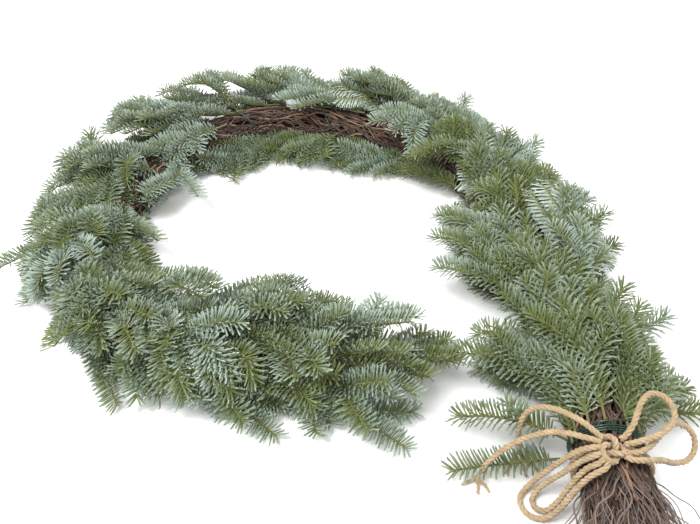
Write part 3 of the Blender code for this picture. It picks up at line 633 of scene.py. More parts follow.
def looseFibres(points, across, over, headings, length, draw):
    parts = []
    for _ in range(int(rope["fibres"] * length)):
        place = draw.randrange(2, len(points) - 2)
        angle = draw.uniform(0.0, math.tau)
        out = swung(angle, across[place], over[place])
        side = np.cross(headings[place], out)
        way = unit(out * draw.uniform(0.25, 1.0) + headings[place] * draw.uniform(-1.4, 1.4)
                   + side * draw.uniform(-1, 1))
        root = points[place] + out * (rope["radius"] - rope["fibreSunk"])
        reach = draw.uniform(*rope["fibreLength"])
        bend = unit(way + out * draw.uniform(-0.8, 0.3)) * reach * 0.55
        middle = root + way * reach * 0.5
        parts.append(hairTube(np.array([root, middle, middle + bend]), rope["fibreRadii"]))
    return parts


def knotHeight():
    lowest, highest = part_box("rope_knot")
    return (lowest.z + highest.z) / 2


def ropeRoute(name):
    points = [np.array(point) for point in ropeRoutes[name]]
    heart = np.array([*knot["place"], points[0][2] - 0.002])
    points.insert(0, heart + (points[0] - heart) * knot["ends"])
    if name.startswith("bow"):
        points.append(heart + (points[-1] - heart) * knot["ends"])
    return Route(points)


def makeRopes(material):
    draw = random.Random(rope["seed"])
    for name in ropeRoutes:
        route = ropeRoute(name)
        piece = twistedRope(name.replace("rope_", "").replace("bow_", "") + "_rope", route, material, draw)
        pieces = [makePlies(plyName, route, material, draw)
                  for plyName, (tailName, _) in plyEnds.items() if tailName == name]
        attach(piece, "root")
        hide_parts(name)
        tuple(route.at(0.0))
        route.spaced(0.004).tolist()
    makeWrap(material, draw)
    makeKnot(material, draw)


def makePlies(name, tail, material, draw):
    # The tail's three plies fall apart at its cut end.
    root = tail.at(tail.length)
    heading = tail.heading(tail.length)
    parts = []
    for end in plyEnds[name][1]:
        end = np.array(end)
        start = root - heading * frayed["behind"]
        leave = root + heading * frayed["past"] + (end - root) * 0.10
        bend = root * 0.42 + end * 0.58
        bend[2] = max(bend[2] - 0.003, 0.0025)
        line = Route([start, leave, bend, end], 8).spaced(frayed["step"])
        headings, across, over = framesAlong(line)
        share = np.linspace(0.0, 1.0, len(line))
        radii = rope["plyRadius"] * (0.92 + 0.16 * np.sin(share * 34.0) * share - 0.25 * share ** 6)
        parts.append(tubeBetween(line, across, over, radii, rope["sides"]))
        for _ in range(frayed["hairs"]):
            place = draw.randrange(len(line) // 2, len(line))
            angle = draw.uniform(0.0, math.tau)
            out = swung(angle, across[place], over[place])
            way = unit(out * draw.uniform(0.2, 0.9) + headings[place] * draw.uniform(0.4, 1.6))
            foot = line[place] + out * frayed["hairOut"]
            tip = foot + way * draw.uniform(*frayed["hairLength"])
            hair = np.array([foot, (line[place] + tip) / 2 + out * 0.0008, tip])
            parts.append(hairTube(hair, frayed["hairRadii"]))
    piece = meshFrom(name + "_frayed", parts, material)
    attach(piece, "root")
    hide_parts(name)
    return piece


# Vine core.

core = {
    "route": [                # its middle line over the floor
        (0.288, -0.370), (0.291, -0.298), (0.299, -0.215), (0.301, -0.135), (0.298, -0.045),
        (0.285, 0.045), (0.259, 0.125), (0.223, 0.205), (0.173, 0.275), (0.105, 0.323), (0.025, 0.355),
        (-0.065, 0.371), (-0.145, 0.357), (-0.210, 0.311), (-0.261, 0.250), (-0.297, 0.165),
        (-0.320, 0.085), (-0.322, 0.005), (-0.295, -0.061), (-0.245, -0.113), (-0.175, -0.149),
        (-0.095, -0.169), (-0.025, -0.181), (0.027, -0.190),
    ],
    "radius": 0.030,
    "sit": 0.88,
    "tipTaper": 0.20,
    "tipRadius": 0.012,
    "neck": 0.054,            # where the rope goes round it
    "neckReach": 0.045,       # length up to which the rope's pull shapes it
    "neckLift": 0.0084,
    "neckRadius": 0.031,
    "shoulderRadius": 0.034,
    "ridge": 0.055,
}
wire = {
    "radius": 0.0008,
    "start": core["neck"] + 0.028,
    "longTurns": 11,
    "firstPitch": 0.056,
    "lastPitch": 0.046,
    "endBare": 0.026,
    "tightTurns": 4,
    "tightPitch": 0.0024,
    "over": 0.0043,           # gap over the core's ridges, where it passes the branches' butts
    "tightOver": 0.0008,      # and where it is wound tight
    "turnStep": 12,           # degrees from point to point
    "sides": 6,
}
coreLine = Route([(x, y, 0.0) for x, y in core["route"]])


def coreRadius(s):
    if s < core["neck"] + core["neckReach"]:
        squeeze = math.cos(min(abs(s - core["neck"]) / 0.030, 1.0) * math.pi) * 0.5 + 0.5
        return core["shoulderRadius"] + (core["neckRadius"] - core["shoulderRadius"]) * squeeze
    thin = ease((s - core["neck"] - core["neckReach"]) / 0.10)
    radius = core["shoulderRadius"] + (core["radius"] - core["shoulderRadius"]) * thin
    left = ease((coreLine.length - s) / core["tipTaper"])
    return core["tipRadius"] + (radius - core["tipRadius"]) * left


def coreFrame(s):
    middle = coreLine.at(s)
    floor = core["neckLift"] * (1.0 - ease((s - wire["start"] - 0.030) / 0.07))
    floor += 0.0032 * ease((s - coreLine.length + wire["endBare"] + 0.075) / 0.045)
    middle[2] = floor + core["sit"] * coreRadius(s)
    forward = coreLine.heading(s)
    return middle, forward, np.array([forward[1], -forward[0], 0.0])


def roundCore(s, degrees, radius):
    middle, _, outside = coreFrame(s)
    return middle + radius * swung(math.radians(degrees), upright, outside)


def lineMesh(name, lines):
    # Edges through the points of each line, with what each point carries.
    total = sum(len(line["points"]) for line in lines)
    mesh = bpy.data.meshes.new(name)
    mesh.vertices.add(total)
    mesh.vertices.foreach_set("co", np.concatenate([line["points"] for line in lines]).ravel())
    edges = []
    base = 0
    for line in lines:
        count = len(line["points"])
        edges += [(base + i, base + i + 1) for i in range(count - 1)]
        base += count
    mesh.edges.add(len(edges))
    mesh.edges.foreach_set("vertices", np.array(edges).ravel())
    for key in lines[0]:
        if key == "points":
            continue
        isVector = np.ndim(lines[0][key]) == 2
        attribute = mesh.attributes.new(key, "FLOAT_VECTOR" if isVector else "FLOAT", "POINT")
        values = [line[key] if isVector else np.broadcast_to(line[key], (len(line["points"]),))
                  for line in lines]
        attribute.data.foreach_set("vector" if isVector else "value", np.concatenate(values).ravel())
    mesh.update()
    return mesh


def strandTree():
    tree = GeometryTree("strands", {"Sides": "NodeSocketInt", "Finish": "NodeSocketMaterial"})
    curve = tree.node("GeometryNodeMeshToCurve", None, {0: tree.given("Geometry")})
    real = tree.node("GeometryNodeRealizeInstances", None, {0: tree.tubes(curve, tree.given("Sides"))})
    tree.finish(tree.painted(real, "Finish"))
    return tree


bundle = {
    # layer: strands, share of the radius, thickness
    "outer": (82, (0.90, 1.04), (0.0008, 0.0015)),
    "middle": (34, (0.66, 0.86), (0.0014, 0.0024)),
    "heart": (12, (0.10, 0.52), (0.0040, 0.0058)),
    "step": 0.0135,
    "twist": (4.5, 11.0),     # radians per metre
    "wander": 0.34,
    "sides": 5,
    "seed": 5,
}


def strandLine(draw, share, thick):
    # One stem that winds along the core and changes its depth as it goes.
    angle = draw.uniform(0.0, 360.0)
    twist = math.degrees(draw.uniform(*bundle["twist"]))
    waves = [(draw.uniform(0.05, 0.30), draw.uniform(0.0, math.tau), draw.uniform(0.4, 1.0))
             for _ in range(3)]
    first = draw.uniform(0.0, 0.012)
    last = coreLine.length - draw.uniform(0.0, 0.05)
    stations = np.arange(first, last, bundle["step"])
    points = []
    for s in stations:
        drift = sum(size * math.sin(s / period * math.tau + phase) for period, phase, size in waves)
        depth = share * (1.0 + 0.035 * math.sin(s / waves[0][0] * 9.0 + waves[1][1]))
        around = angle + twist * s + drift * math.degrees(bundle["wander"])
        place = roundCore(s, around, coreRadius(s) * depth)
        place[2] = max(place[2], thick + 0.0002)
        points.append(place)
    sizes = thick * (1.0 + 0.12 * np.sin(stations * 41.0 + angle))
    sizes[-3:] *= (0.9, 0.75, 0.5)
    return {"points": np.array(points), "thick": sizes, "shade": draw.random() ** 1.6, "grey": 0.0}


tail = {
    "twigs": 230,             # nearly straight ones
    "length": (0.060, 0.118),
    "bend": (-12.0, 12.0),
    "sway": 42.0,
    "splay": 0.36,
    "thick": (0.00045, 0.0010),
    "curly": 130,             # and strongly bent ones
    "curlyLength": (0.06, 0.125),
    "curlyBend": (4.0, 26.0),
    "curlySway": 80.0,
    "outwards": 0.86,         # share of the curly twigs that start towards the hook's outer side
    "back": 0.40,             # how much of its way a twig keeps to the bundle's own direction
    "root": 0.012,            # start below the rope's middle
    "step": 0.0055,
    "floorGap": 0.0016,
    "lowest": -0.495,         # where twigs stop along Y
}


def tailTwig(draw, curly):
    # A cut end that leaves the bundle under the rope and bends away.
    foot, step = core["neck"] - tail["root"], tail["step"]
    angle = draw.uniform(0.0, math.tau)
    share = math.sqrt(draw.uniform(0.02, 1.0)) * (0.98 if not curly else 1.0)
    start = roundCore(foot, math.degrees(angle), core["neckRadius"] * share)
    _, forward, outside = coreFrame(0.0)
    back = -forward
    splayed = unit(start - coreFrame(foot)[0])
    if curly:
        side = 1.0 if draw.random() < tail["outwards"] else -0.12
        heading = unit(back + outside * side * draw.uniform(0.0, 0.75) + splayed * 0.25)
        length = draw.uniform(*tail["curlyLength"])
        bend = draw.uniform(*tail["curlyBend"]) * (1.0 if side > 0.0 else -0.4)
    else:
        heading = unit(back + splayed * share * tail["splay"] * draw.uniform(0.3, 1.0))
        length = draw.uniform(*tail["length"]) + core["neck"]
        bend = draw.uniform(*tail["bend"])
    wander = [draw.uniform(-1.0, 1.0) for _ in range(4)]
    points = [start]
    for index in range(int(length / step)):
        run = index / max(length / step - 1, 1)
        flat = np.array([heading[1], -heading[0], 0.0])
        sway = bend * (0.3 + run) + 20.0 * wander[0] * math.sin(run * 9.0 + wander[1] * 3.0)
        sway += tail["curlySway" if curly else "sway"] * wander[2] * math.sin(run * 17.0 + wander[3] * 3.0)
        heading = heading + flat * sway * step
        lift = 12.0 * wander[2] * math.sin(run * 8.0 + wander[3] * 3.0) - 4.0 * run
        astray = max(tail["back"] - heading @ back, 0.0)
        heading = unit(heading + upright * lift * step + back * astray * 0.7)
        place = points[-1] + heading * step
        place[2] = max(place[2], tail["floorGap"])
        if place[1] < tail["lowest"]:
            break
        points.append(place)
    thick = draw.uniform(*tail["thick"]) * (0.9 if curly else 1.0)
    sizes = thick * np.linspace(1.0, 0.6, len(points))
    return {"points": np.array(points), "thick": sizes, "shade": draw.random() ** 1.3,
            "grey": draw.uniform(0.4, 1.0)}


def makeCore(strands, finish):
    draw = random.Random(bundle["seed"])
    values = {"Sides": bundle["sides"], "Finish": finish}
    lines = []
    for layer in ("outer", "middle", "heart"):
        count, shares, sizes = bundle[layer]
        for _ in range(count):
            lines.append(strandLine(draw, draw.uniform(*shares), draw.uniform(*sizes)))
    stems = strands.applied("vineStems", lineMesh("vineStems", lines), values)
    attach(stems, "root")
    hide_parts("vine_core")
    lines = [tailTwig(draw, False) for _ in range(tail["twigs"])]
    lines += [tailTwig(draw, True) for _ in range(tail["curly"])]
    ends = strands.applied("vineTail", lineMesh("vineTail", lines), values)
    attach(ends, "root")


def wireStation(degrees):
    turns = degrees / 360
    end = coreLine.length - wire["endBare"]
    pitch = (end - wire["lastPitch"] - wire["start"] - wire["firstPitch"]) / wire["longTurns"]
    if turns < 0:
        return wire["start"] + wire["tightPitch"] * turns
    if turns < 1:
        return wire["start"] + wire["firstPitch"] * turns
    longTurns = min(turns - 1, wire["longTurns"])
    lastTurn = max(turns - 1 - wire["longTurns"], 0.0)
    return wire["start"] + wire["firstPitch"] + pitch * longTurns + wire["lastPitch"] * lastTurn


def makeWire(strands, finish):
    points = []
    for degrees in range(-360 * wire["tightTurns"], 360 * (wire["longTurns"] + 2), wire["turnStep"]):
        s = wireStation(degrees)
        tight = ease(-degrees / 60)
        over = wire["over"] * (1.0 - tight) + wire["tightOver"] * tight
        place = roundCore(s, degrees, coreRadius(s) * (1 + core["ridge"]) + over + wire["radius"])
        place[2] = max(place[2], wire["radius"] + 0.0001)
        points.append(place)
    line = {"points": np.array(points), "thick": wire["radius"], "shade": 0.0, "grey": 0.0}
    values = {"Sides": wire["sides"], "Finish": finish}
    piece = strands.applied("bindingWire", lineMesh("bindingWire", [line]), values)
    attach(piece, "root")
    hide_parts("binding_wire")


# Turns of rope round the neck: "start" is in degrees from the top, "steps" are points in each turn.
wrap = {"turns": 2, "pitch": 0.0065, "gap": 0.0006, "start": -20, "steps": 24}


def makeWrap(material, draw):
    points = []
    for index in range(wrap["turns"] * wrap["steps"] + 1):
        turn = index / wrap["steps"]
        s = core["neck"] + wrap["pitch"] * (turn - 1)
        radius = coreRadius(s) * (1 + core["ridge"]) + wrap["gap"] + rope["radius"]
        place = roundCore(s, 360 * turn + wrap["start"], radius)
        place[2] = max(place[2], rope["radius"] + 0.0004)
        points.append(place)
    piece = twistedRope("neckWrap", Route(points, 4), material, draw)
    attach(piece, "root")
    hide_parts("rope_wrap")


def makeKnot(material, draw):
    height = knotHeight()
    x, y = knot["place"]
    points = []
    for index in range(knot["steps"] + 1):
        t = math.tau * index / knot["steps"]
        ring = knot["radius"] + knot["rise"] * math.cos(3 * t)
        points.append((x + ring * math.cos(2 * t), y + ring * math.sin(2 * t),
                       height - knot["rise"] * math.sin(3 * t)))
    piece = twistedRope("bowKnot", Route(points, 4), material, draw, closed=True)
    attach(piece, "root")
    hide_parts("rope_knot")


# Fir sprays.

needle = {
    "length": 0.0210,
    "width": 0.0023,
    "thickness": 0.0010,
    "gap": 0.00088,           # twig length from one needle to the next
    "sweep": 68.0,            # degrees between twig and needle at its root
    "arch": 0.0040,           # how far a needle's tip bends sideways
    "rise": 0.0030,           # and upwards
    "shoulder": 0.88,         # where its tip begins to taper, as a share of its length
}


def needleShape(name, hand):
    # A flat blade with a low ridge on top, pale below; its width runs along X and its upper side faces Y.
    half, thick, shoulder = needle["width"] / 2, needle["thickness"], needle["shoulder"]
    arch, rise = needle["arch"] * hand, needle["rise"]
    verts = []
    for height, size, shift, lift in ((0.0, 0.6, 0.0, 0.0), (shoulder, 0.98, 0.74 * arch, 0.74 * rise)):
        bottom = lift - thick * 0.3
        verts += [(-half * size + shift, bottom, height), (half * size + shift, bottom, height),
                  (shift, lift + thick * 0.7 * size, height)]
    verts.append((arch, rise, 1.0))
    faces = [(0, 1, 4, 3), (1, 2, 5, 4), (2, 0, 3, 5), (3, 4, 6), (4, 5, 6), (5, 3, 6), (2, 1, 0)]
    mesh = bpy.data.meshes.new(name)
    mesh.from_pydata(verts, [], faces)
    along = [0.0] * 3 + [shoulder] * 3 + [1.0]
    under = [1.0, 0.0, 0.0, 1.0, 0.0, 0.0, 0.0]
    mesh.attributes.new("along", "FLOAT", "POINT").data.foreach_set("value", along)
    mesh.attributes.new("under", "FLOAT", "FACE").data.foreach_set("value", under)
    return bpy.data.objects.new(name, mesh)


def needleShapes():
    shapes = bpy.data.collections.new("needleShapes")
    for name, hand in (("needleA", 1.0), ("needleB", -1.0)):
        shapes.objects.link(needleShape(name, hand))
    return shapes


def sprayTree():
    # Needles set spirally along each twig, combed to its upper side, and the twig itself.
    tree = GeometryTree("firSpray", {
        "Needles": "NodeSocketCollection", "Gap": "NodeSocketFloat", "Length": "NodeSocketFloat",
        "Sweep": "NodeSocketFloat", "Needle finish": "NodeSocketMaterial",
        "Twig finish": "NodeSocketMaterial", "Seed": "NodeSocketInt"})
    curve = tree.node("GeometryNodeMeshToCurve", None, {0: tree.given("Geometry")})

    feet = tree.node("GeometryNodeCurveToPoints", {"mode": "LENGTH"},
                     {"Curve": curve, "Length": tree.given("Gap")})
    along = tree.also(feet, "Tangent")
    lifted = tree.attribute("up", "FLOAT_VECTOR")
    side = tree.vector("NORMALIZE", tree.vector("CROSS_PRODUCT", along, lifted), (0, 0, 0))
    over = tree.vector("CROSS_PRODUCT", side, along)
    index = tree.node("GeometryNodeInputIndex")
    spiral = (index * 0.618034).math("FRACT") * 2.0 - 1.0
    hand = spiral.math("SIGN")
    wide = spiral.math("ABSOLUTE")
    around = hand * (wide ** 0.70) * tree.attribute("wrap") + tree.chance(-0.06, 0.06, 1)
    lean = tree.given("Sweep") * (wide * 0.28 + 0.72) + tree.chance(-0.05, 0.05, 2)
    lean = lean * tree.attribute("spread")
    way = tree.swung(lean, along, tree.swung(around, over, side))
    facing = tree.vector("ADD", over, tree.scaled(along, 0.35))
    turned = tree.node("FunctionNodeAlignRotationToVector", {"axis": "Z"}, {"Vector": way})
    turned = tree.node("FunctionNodeAlignRotationToVector", {"axis": "Y", "pivot_axis": "Z"},
                       {"Rotation": turned, "Vector": facing})
    long = tree.given("Length") * tree.attribute("reach") * tree.chance(0.94, 1.06, 3)
    long = long * (wide * 0.22 + 0.78)
    broad = tree.chance(0.90, 1.10, 4)
    size = tree.node("ShaderNodeCombineXYZ", None, {0: broad, 1: broad, 2: long})
    shapes = tree.node("GeometryNodeCollectionInfo", None, {
        "Collection": tree.given("Needles"), "Separate Children": True, "Reset Children": True})
    needles = tree.node("GeometryNodeInstanceOnPoints", None, {
        "Points": feet, "Instance": shapes, "Pick Instance": True, "Instance Index": hand * 0.5 + 0.5,
        "Rotation": turned, "Scale": size,
        "Selection": tree.attribute("reach").math("GREATER_THAN", 0.3)})
    tinted = tree.node("GeometryNodeStoreNamedAttribute", {"data_type": "FLOAT", "domain": "INSTANCE"},
                       {0: needles, "Name": "tint", "Value": tree.chance(0.0, 1.0, 5)})
    real = tree.node("GeometryNodeRealizeInstances", None, {0: tinted})
    needles = tree.painted(real, "Needle finish")
    twigs = tree.painted(tree.tubes(curve, 5), "Twig finish")

    both = tree.node("GeometryNodeJoinGeometry")
    tree.group.links.new(needles.socket, both.socket.node.inputs[0])
    tree.group.links.new(twigs.socket, both.socket.node.inputs[0])
    tree.finish(both)
    return tree


def layOnFloor(piece):
    # Needles that would pass through the floor bend along it.
    mesh = piece.data
    places = np.zeros(len(mesh.vertices) * 3, dtype=np.float32)
    mesh.vertices.foreach_get("co", places)
    heights = places[2::3]
    low = heights < 0.012
    soft = spray["soft"]
    heights[low] = soft * np.log1p(np.exp(heights[low] / soft)) + 0.0002
    mesh.vertices.foreach_set("co", places)
    mesh.update()


# How the parts of a solid branch are told apart. The rings round its twigs have short edges. Needles
# and shoots end in a point with three long edges, and only a shoot's point stands on an even triangle.
solid = {"bandEdge": 0.0052, "tipEdge": 0.0058, "evenSides": 1.12, "merge": 0.00002}


def bandsOf(bm, tips):
    # Numbers the rings round the twigs, each a group of points joined by short edges.
    number = {}
    bands = []
    for vert in bm.verts:
        if vert in number or vert in tips:
            continue
        number[vert] = len(bands)
        rows = [vert]
        waiting = [vert]
        while waiting:
            here = waiting.pop()
            for edge in here.link_edges:
                other = edge.other_vert(here)
                if edge.calc_length() < solid["bandEdge"] and other not in number and other not in tips:
                    number[other] = len(bands)
                    rows.append(other)
                    waiting.append(other)
        bands.append(rows)
    near = [set() for _ in bands]
    for edge in bm.edges:
        a, b = (number.get(vert) for vert in edge.verts)
        if None not in (a, b) and a != b:
            near[a].add(b)
            near[b].add(a)
    return number, bands, near


def cadBranch(node):
    # Reads the twigs of a branch back from its solid: its main shoot, then its side shoots.
    bm = bmesh.new()
    bm.from_mesh(frame["nodes"][node].data)
    bmesh.ops.remove_doubles(bm, verts=bm.verts, dist=solid["merge"])
    tips = [vert for vert in bm.verts if len(vert.link_edges) == 3
            and min(edge.calc_length() for edge in vert.link_edges) > solid["tipEdge"]]
    number, bands, near = bandsOf(bm, tips)
    middles = [sum((np.array(vert.co) for vert in rows), np.zeros(3)) / len(rows) for rows in bands]
    ends = {}
    for vert in tips:
        ring = [edge.other_vert(vert) for edge in vert.link_edges]
        sides = [(a.co - b.co).length for a, b in zip(ring, ring[1:] + ring[:1])]
        if max(sides) / min(sides) < solid["evenSides"]:
            ends[number[ring[0]]] = np.array(vert.co)
    butt = next(i for i, rows in enumerate(bands) if len(rows) == 3 and len(near[i]) == 1 and i not in ends)
    used = {butt}
    lines = [follow(butt, middles, bands, near, ends, used)]
    for start in range(len(bands)):
        if start in used or len(bands[start]) != 3:
            continue
        used.add(start)
        roots = [middles[i] for i in near[start] if i in used]
        line = follow(start, middles, bands, near, ends, used)
        fork = sum(roots) / len(roots)
        lines.append([fork + (line[0] - fork) * 0.15] + line)
    bm.free()
    return lines


def follow(start, middles, bands, near, ends, used):
    # Goes from band to band, straight on, up to the shoot's tip.
    here = start
    line = [middles[start]]
    while True:
        ahead = [i for i in near[here] if i not in used and (len(bands[i]) > 3 or here == start)]
        if not ahead:
            break
        if len(line) > 1:
            heading = line[-1] - line[-2]
            ahead.sort(key=lambda i: -unit(heading) @ unit(middles[i] - line[-1]))
        else:
            ahead.sort(key=lambda i: np.linalg.norm(middles[i] - line[-1]))
        here = ahead[0]
        used.add(here)
        line.append(middles[here])
    if here in ends:
        line.append(ends[here])
    return line


spray = {
    "seed": 11,
    "twig": (0.0017, 0.0010),  # twig radius at the foot and at the tip
    "step": 0.006,
    "bare": 0.040,            # length of stem without needles at a branch's butt
    "tipLength": 0.80,        # of a needle at a shoot's tip, as a share
    "tipSpread": 0.42,        # and its lean from the twig, as a share
    "wrap": (1.40, 1.70),     # radians round the twig that needles reach, near the floor and above
    "sideAngle": (36.0, 50.0),
    "sideLength": (0.050, 0.078),
    "sideLift": (-0.05, 0.16),
    "sideStep": 0.012,
    "sideShade": 0.26,        # how much paler or darker than its branch a side shoot may be
    "slack": (-0.010, 0.006),  # past the foliage's edge
    "lowest": 0.006,
    "highest": 0.104,
    "edge": 0.034,            # height of the uppermost twigs at the foliage's edges
    "needles": 0.011,         # reach of the needles past their twig
    "soft": 0.0016,           # needles bend over the floor within a few times this height
}
# Places along a branch where side shoots fork off, to one hand and the other in turn.
forks = {
    "solid": (0.52, 0.62, 0.78),
    "fill": (0.36, 0.44, 0.60, 0.68, 0.80),
    "single": (0.42, 0.48, 0.64, 0.70),
    "top": (0.46, 0.54, 0.72),
    "neck": (0.40, 0.50, 0.68),
}
# Half widths of the foliage, in mm from the core's middle line, at places along it.
spread = {
    "at": [
        0.05, 0.11, 0.17, 0.23, 0.29, 0.35, 0.41, 0.47, 0.53, 0.59, 0.65, 0.71, 0.77, 0.83, 0.95, 1.07,
        1.13, 1.19, 1.25, 1.31, 1.37, 1.43, 1.49, 1.55, 1.61, 1.67, 1.73, 1.79, 1.85, 1.91, 2.00,
    ],
    "outside": [
        60, 56, 76, 60, 62, 86, 84, 90, 94, 98, 98, 108, 130, 148, 155, 150, 146, 150, 144, 124, 96, 84,
        77, 70, 72, 80, 78, 66, 80, 66, 40,
    ],
    "inside": [
        80, 110, 126, 135, 124, 132, 100, 84, 52, 50, 66, 92, 112, 128, 124, 118, 76, 40, 26, 34, 52, 80,
        88, 92, 92, 90, 100, 104, 112, 92, 40,
    ],
}
spreadPlaces = np.linspace(0.0, coreLine.length, 240)
spreadLine = np.array([coreLine.at(s)[:2] for s in spreadPlaces])
spreadWays = np.array([coreLine.heading(s)[:2] for s in spreadPlaces])


def grown(points, heading, step, layer, slack=0.0):
    # Adds a twig's next point, under the rounded top of the foliage; false where the foliage ends.
    ahead = points[-1] + heading * step
    index = int(np.argmin(np.linalg.norm(spreadLine - ahead[:2], axis=1)))
    forward = spreadWays[index]
    outside = np.array([forward[1], -forward[0]])
    across = (ahead[:2] - spreadLine[index]) @ outside
    run = max((ahead[:2] - spreadLine[index]) @ forward, 0.0)
    side = "outside" if across > 0 else "inside"
    room = np.interp(spreadPlaces[index] + run, spread["at"], spread[side]) / 1000
    room = room - spray["needles"] + slack
    if abs(across) > room and abs(across) > abs((points[-1][:2] - spreadLine[index]) @ outside):
        return False
    share = min(abs(across) / max(room, 0.01), 1.0)
    dome = spray["edge"] + (spray["highest"] - spray["edge"]) * math.sqrt(1.0 - share ** 3)
    ahead[2] = max(min(ahead[2], dome * layer), spray["lowest"])
    points.append(ahead)
    return True


def shootLine(points, up, shade, bare=0.0):
    # A shoot ready for its needles: their length and spread fall off towards the tip.
    line = Route(points, 6).spaced(spray["step"])
    run = runAlong(line)
    left = run[-1] - run
    share = run / run[-1]
    first, last = spray["twig"]
    lengths = np.clip(spray["tipLength"] + left / 0.060, 0.0, 1.0)
    lengths = lengths * np.clip((run - bare) / 0.004 + 1.0, 0.0, 1.0)
    spreads = np.clip(spray["tipSpread"] + left / 0.018, 0.0, 1.0)
    ups = np.broadcast_to(up, line.shape).copy()
    wraps = np.interp(line[:, 2], (0.006, 0.026), spray["wrap"])
    return {"points": line, "up": ups, "thick": first + (last - first) * share, "shade": shade,
            "reach": np.maximum(lengths, 0.0), "spread": spreads, "wrap": wraps}


def sideShoot(route, place, up, hand, draw, layer):
    # A shoot that forks off in the spray's own plane.
    heading = route.heading(place)
    across = unit(np.cross(heading, up)) * hand
    angle = math.radians(draw.uniform(*spray["sideAngle"]))
    length = draw.uniform(*spray["sideLength"]) * (1.30 - 0.62 * (place / route.length))
    lift = draw.uniform(*spray["sideLift"])
    points = [route.at(place)]
    steps = max(3, int(length / spray["sideStep"]))
    slack = draw.uniform(*spray["slack"])
    for index in range(steps):
        turn = angle * (1.0 - 0.35 * index / steps)
        if not grown(points, unit(swung(turn, heading, across) + up * lift), length / steps, layer, slack):
            break
    return points


def sprayLines(main, sides, up, shade, draw, places, bare=spray["bare"], layer=1.0):
    # All shoots of one branch: its own, and more at the forks.
    route = Route(main, 6)
    lines = [shootLine(main, up, shade, bare)]
    change = spray["sideShade"]
    for points in sides:
        lines.append(shootLine(points, up, shade + draw.uniform(-change, change)))
    for index, place in enumerate(places):
        side = sideShoot(route, route.length * place, up, -1 if index % 2 else 1, draw, layer)
        if len(side) > 2:
            lines.append(shootLine(side, up, shade + draw.uniform(-change, change)))
    return lines


corePlaces = np.array([coreLine.at(s) for s in np.linspace(0.0, coreLine.length, 90)])


def upFor(points, draw, flipped=False):
    # Upper side of a branch: away from the core and away from the floor.
    middle = np.array(points[len(points) // 2])
    nearest = corePlaces[np.argmin(np.linalg.norm(corePlaces[:, :2] - middle[:2], axis=1))]
    out = middle - nearest
    out[2] = 0.0
    tilt = out / max(np.linalg.norm(out), 0.02) * 0.45
    up = tilt + np.array([draw.uniform(-0.22, 0.22), draw.uniform(-0.22, 0.22), 1.0])
    heading = unit(np.array(points[-1]) - np.array(points[0]))
    up = unit(up - heading * (up @ heading))
    return -up if flipped else up


fill = {
    "first": 0.100,
    "last": 0.045,            # short of the core's tip
    "bare": 0.026,
    "pitch": 0.0215,
    "angles": (-58.0, 34.0, -100.0, 78.0, 4.0, 112.0, -26.0, 56.0, -112.0, 92.0),
    "angleSlack": (-9.0, 9.0),
    "layers": (0.62, 0.92),   # height under the foliage's top, as a share of it
    "lean": (10.0, 34.0),
    "sideLean": 22.0,         # more lean towards the core's sides
    "yaw": (-14.0, 14.0),
    "droop": 0.30,
    "turn": 0.30,             # share of the way towards its goal that a branch turns at each step
    "step": 0.010,
    "length": (0.105, 0.150),
    "bareFrom": 0.60,
    "bareTo": 1.03,
    "bareAngles": (-98.0, 2.0),
    "flipped": 0.09,          # share of branches that show their pale lower side
}
neckFill = {
    "start": 0.092,
    "bare": 0.020,
    "angles": (-74.0, -38.0, -14.0, 18.0, 42.0, 74.0),
    "layers": (0.98, 0.74, 0.90, 0.70, 1.0, 0.80),
    "shade": (-0.15, 0.45),
}
# Sprays that close the upper side, by their place along the core and their angle.
topFill = {
    "layers": (0.80, 1.0),
    "places": [
        (0.165, -12.0), (0.255, 20.0), (0.36, -30.0), (0.44, 14.0), (1.10, 36.0), (1.20, 6.0),
        (1.255, -30.0), (1.30, 26.0), (1.36, -14.0), (1.41, 30.0), (1.455, -36.0), (1.50, 4.0),
        (1.545, 38.0), (1.585, -22.0), (1.64, 18.0), (1.70, -32.0), (1.75, 10.0), (0.70, 36.0),
        (0.78, 52.0), (0.86, 46.0), (0.95, 50.0), (0.49, 6.0), (0.53, -28.0), (0.56, 24.0),
        (0.59, -8.0), (0.63, 34.0), (1.02, 56.0), (1.06, 30.0), (1.56, 12.0), (1.60, 0.0), (1.62, 34.0),
        (1.22, 40.0), (0.84, -106.0), (0.90, -108.0), (1.40, 4.0),
    ],
}
